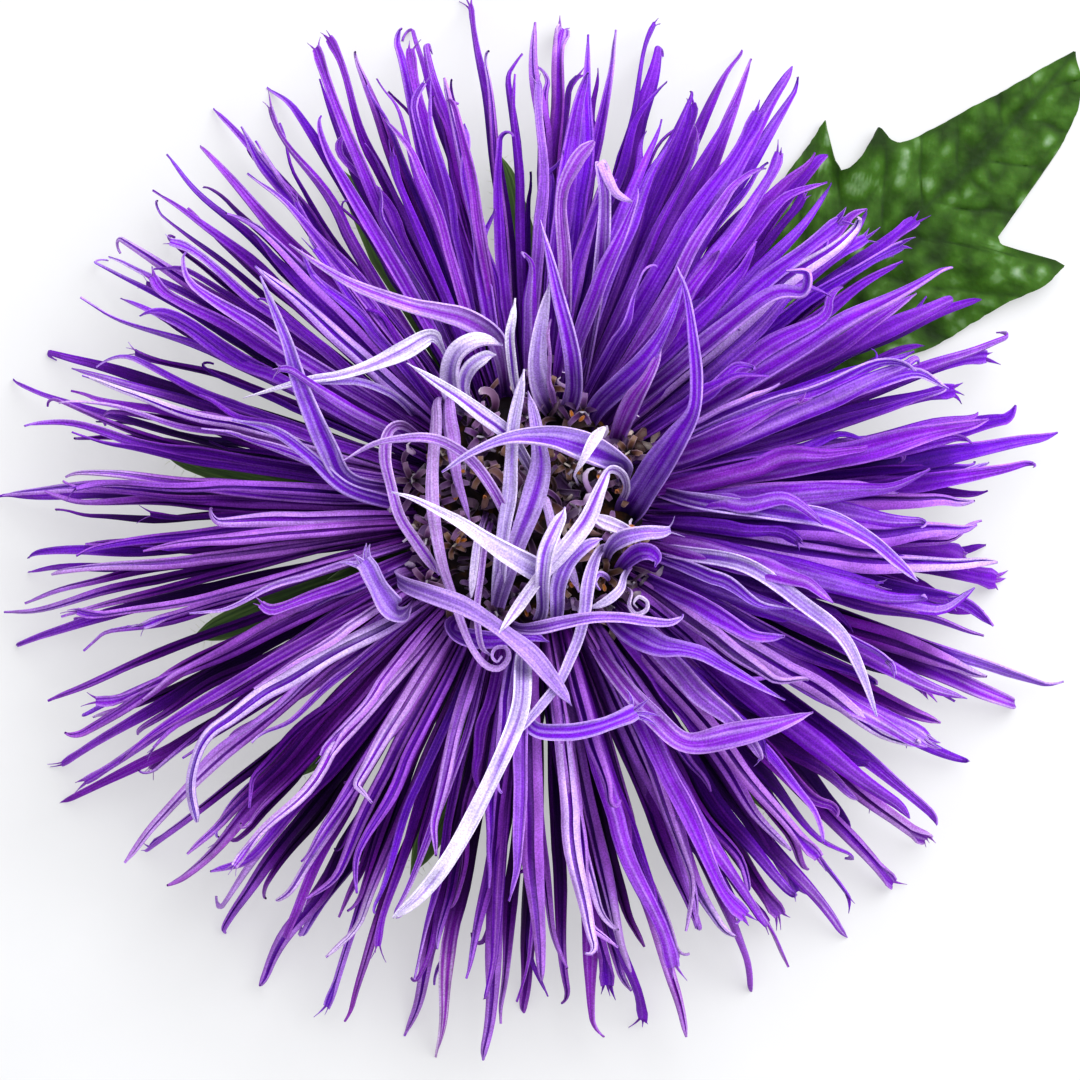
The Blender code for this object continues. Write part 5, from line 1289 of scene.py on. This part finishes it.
draw = random.Random(DISC_SEED)
disc = StripSet()
for number in range(TUBE_COUNT):
    share = (number + 0.5) / TUBE_COUNT
    radius = math.sqrt(TUBE_RADII[0] ** 2 + (TUBE_RADII[1] ** 2 - TUBE_RADII[0] ** 2) * share)
    place = polar(radius, GOLDEN_ANGLE * number, DISH_HEIGHT)
    tall = draw.uniform(*TUBE_HEIGHTS)
    lean = Vector((draw.gauss(0, 0.2), draw.gauss(0, 0.2), 1.0)).normalized()
    kind = draw.random()
    tone = (1.0 if kind < CREAM_SHARE else draw.uniform(0, 0.4), 0.0, draw.uniform(0.5, 1.0))
    stem = [place + lean * (tall * at / 3) for at in range(4)]
    disc.add(stem, [0.9, 1.0, 1.2, 1.4], [330] * 4, [0] * 4, 0.2, tone)
    turn = draw.uniform(0, math.tau)
    for lobe in range(LOBE_COUNT):
        out = polar(1.0, turn + lobe * math.tau / LOBE_COUNT, 0.0)
        base = stem[-1] + out * 0.36 - lean * 0.2
        reach_out = draw.uniform(*LOBE_REACHES)
        path = [base, base + lean * 0.6 + out * 0.15, base + lean * 0.95 + out * reach_out * 0.6,
                base + lean * 0.75 + out * reach_out, base + lean * 0.2 + out * reach_out * 1.05,
                base + out * reach_out * 0.75]
        disc.add(path, [0.6, 0.75, 0.75, 0.6, 0.45, 0.2], [70] * 6, [0] * 6, LOBE_THICKNESS, tone)
for number in range(RIBBON_COUNT):
    azimuth = draw.uniform(0, math.tau)
    radius = draw.uniform(*RIBBON_RADII)
    point = polar(radius, azimuth, 20.2 if radius > 3.4 else 23.5)
    heading = Vector((draw.gauss(0, 0.5), draw.gauss(0, 0.5), 1.0)).normalized()
    bend_axis = Vector((draw.gauss(0, 1), draw.gauss(0, 1), draw.gauss(0, 0.3))).normalized()
    bend_rate = draw.uniform(*RIBBON_BENDS)
    length = draw.uniform(*RIBBON_LENGTHS)
    path = [point]
    for at in range(RIBBON_STEPS):
        turn = Matrix.Rotation(math.radians(bend_rate * (0.3 + 1.4 * at / RIBBON_STEPS)), 3, bend_axis)
        heading = turn @ heading
        following = path[-1] + heading * (length / RIBBON_STEPS)
        following.z = clamp(following.z, DISH_HEIGHT + 0.6, RIBBON_TOP)
        path.append(following)
    tone = (draw.choice((0.0, 0.1, 0.2, 0.4, 0.9)), 0.0, draw.uniform(0.3, 1.35) * draw.uniform(0.5, 1.0))
    breadth = draw.uniform(*RIBBON_WIDTHS)
    widths = [breadth * between([(0, 0.6), (5, 1.0), (10, 0.9), (RIBBON_STEPS, 0.35)], at)
              for at in range(RIBBON_STEPS + 1)]
    disc.add(path, widths, [draw.uniform(60, 150)] * len(path), [0] * len(path), LOBE_THICKNESS, tone)
for number in range(POLLEN_COUNT):
    azimuth = draw.uniform(0, math.tau)
    radius = draw.uniform(*POLLEN_RADII)
    point = polar(radius, azimuth, draw.uniform(*POLLEN_HEIGHTS))
    heading = Vector((draw.gauss(0, 1), draw.gauss(0, 1), 1.0)).normalized()
    path = [point + heading * (GRAIN_LENGTH / 3 * at) for at in range(4)]
    disc.add(path, [0.2, 0.42, 0.42, 0.2], [300] * 4, [0] * 4, LOBE_THICKNESS, (0.0, 1.0, 1.0))
disc_florets = disc.finish("disc_floret_tubes", disc_skin)
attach(disc_florets, "root")
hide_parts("disc_florets")

# Table: matt white paper under the flower, with a faint uneven tooth. It glows faintly, painted light that
# lifts the shadows on it.
TABLE_SIDE = 3.0
bpy.ops.mesh.primitive_plane_add(size=TABLE_SIDE, location=(0.0, 0.0, 0.0))
table = bpy.context.active_object
table.name = "table_top"
# Painted light: the paper's faint glow lifts the shadows on it, over a greyer base colour
paper, tree, shader = new_material("matt white paper", {
    "Roughness": 0.9, "Emission Color": hex_colour("ffffff"), "Emission Strength": 0.38})
place = add_node(tree, "TexCoord").outputs["Object"]
tooth_grain = add_node(tree, "TexNoise", {"Scale": 1 / (18 * MM), "Detail": 3.0}, {"Vector": place})
whites = add_node(tree, "ValToRGB", {"stops": [(0.3, "a2a3a5"), (0.7, "a6a7a9")]}, {"Fac": tooth_grain})
tree.links.new(whites.outputs["Color"], shader.inputs["Base Color"])
table.data.materials.append(paper)

# Light: an overcast window, soft from the upper right, and a pale room that fills the shadows.
KEY_PLACE = (0.26, 0.28, 0.50)
KEY_SIZE = 0.60
KEY_POWER = 4.0
ROOM_BRIGHTNESS = 0.68
bpy.ops.object.light_add(type="AREA", location=KEY_PLACE)
key = bpy.context.active_object
key.data.shape = "DISK"
key.data.size = KEY_SIZE
key.data.energy = KEY_POWER
key.rotation_euler = (-Vector(KEY_PLACE)).to_track_quat("-Z", "Y").to_euler()
room = bpy.data.worlds.new("pale room")
bpy.context.scene.world = room
room.use_nodes = True
room.node_tree.nodes["Background"].inputs["Color"].default_value = hex_colour("f7f7f9")
room.node_tree.nodes["Background"].inputs["Strength"].default_value = ROOM_BRIGHTNESS
bpy.context.scene.view_settings.view_transform = "Standard"
bpy.context.scene.view_settings.look = "Medium High Contrast"

# Camera: straight above the head, as in the photo, whose side covers 108 mm at the rays' height.
FRAME_SIDE = 108.0
SENSOR_WIDTH = 36.0
bpy.ops.object.camera_add(location=(HEAD + Vector((EYE_X, EYE_Y, EYE_HEIGHT))) * MM, rotation=(0, 0, 0))
camera = bpy.context.active_object
camera.data.sensor_width = SENSOR_WIDTH
camera.data.lens = SENSOR_WIDTH * (EYE_HEIGHT - EYE_FOCUS) / FRAME_SIDE
camera.data.clip_start = 0.01
bpy.context.scene.camera = camera
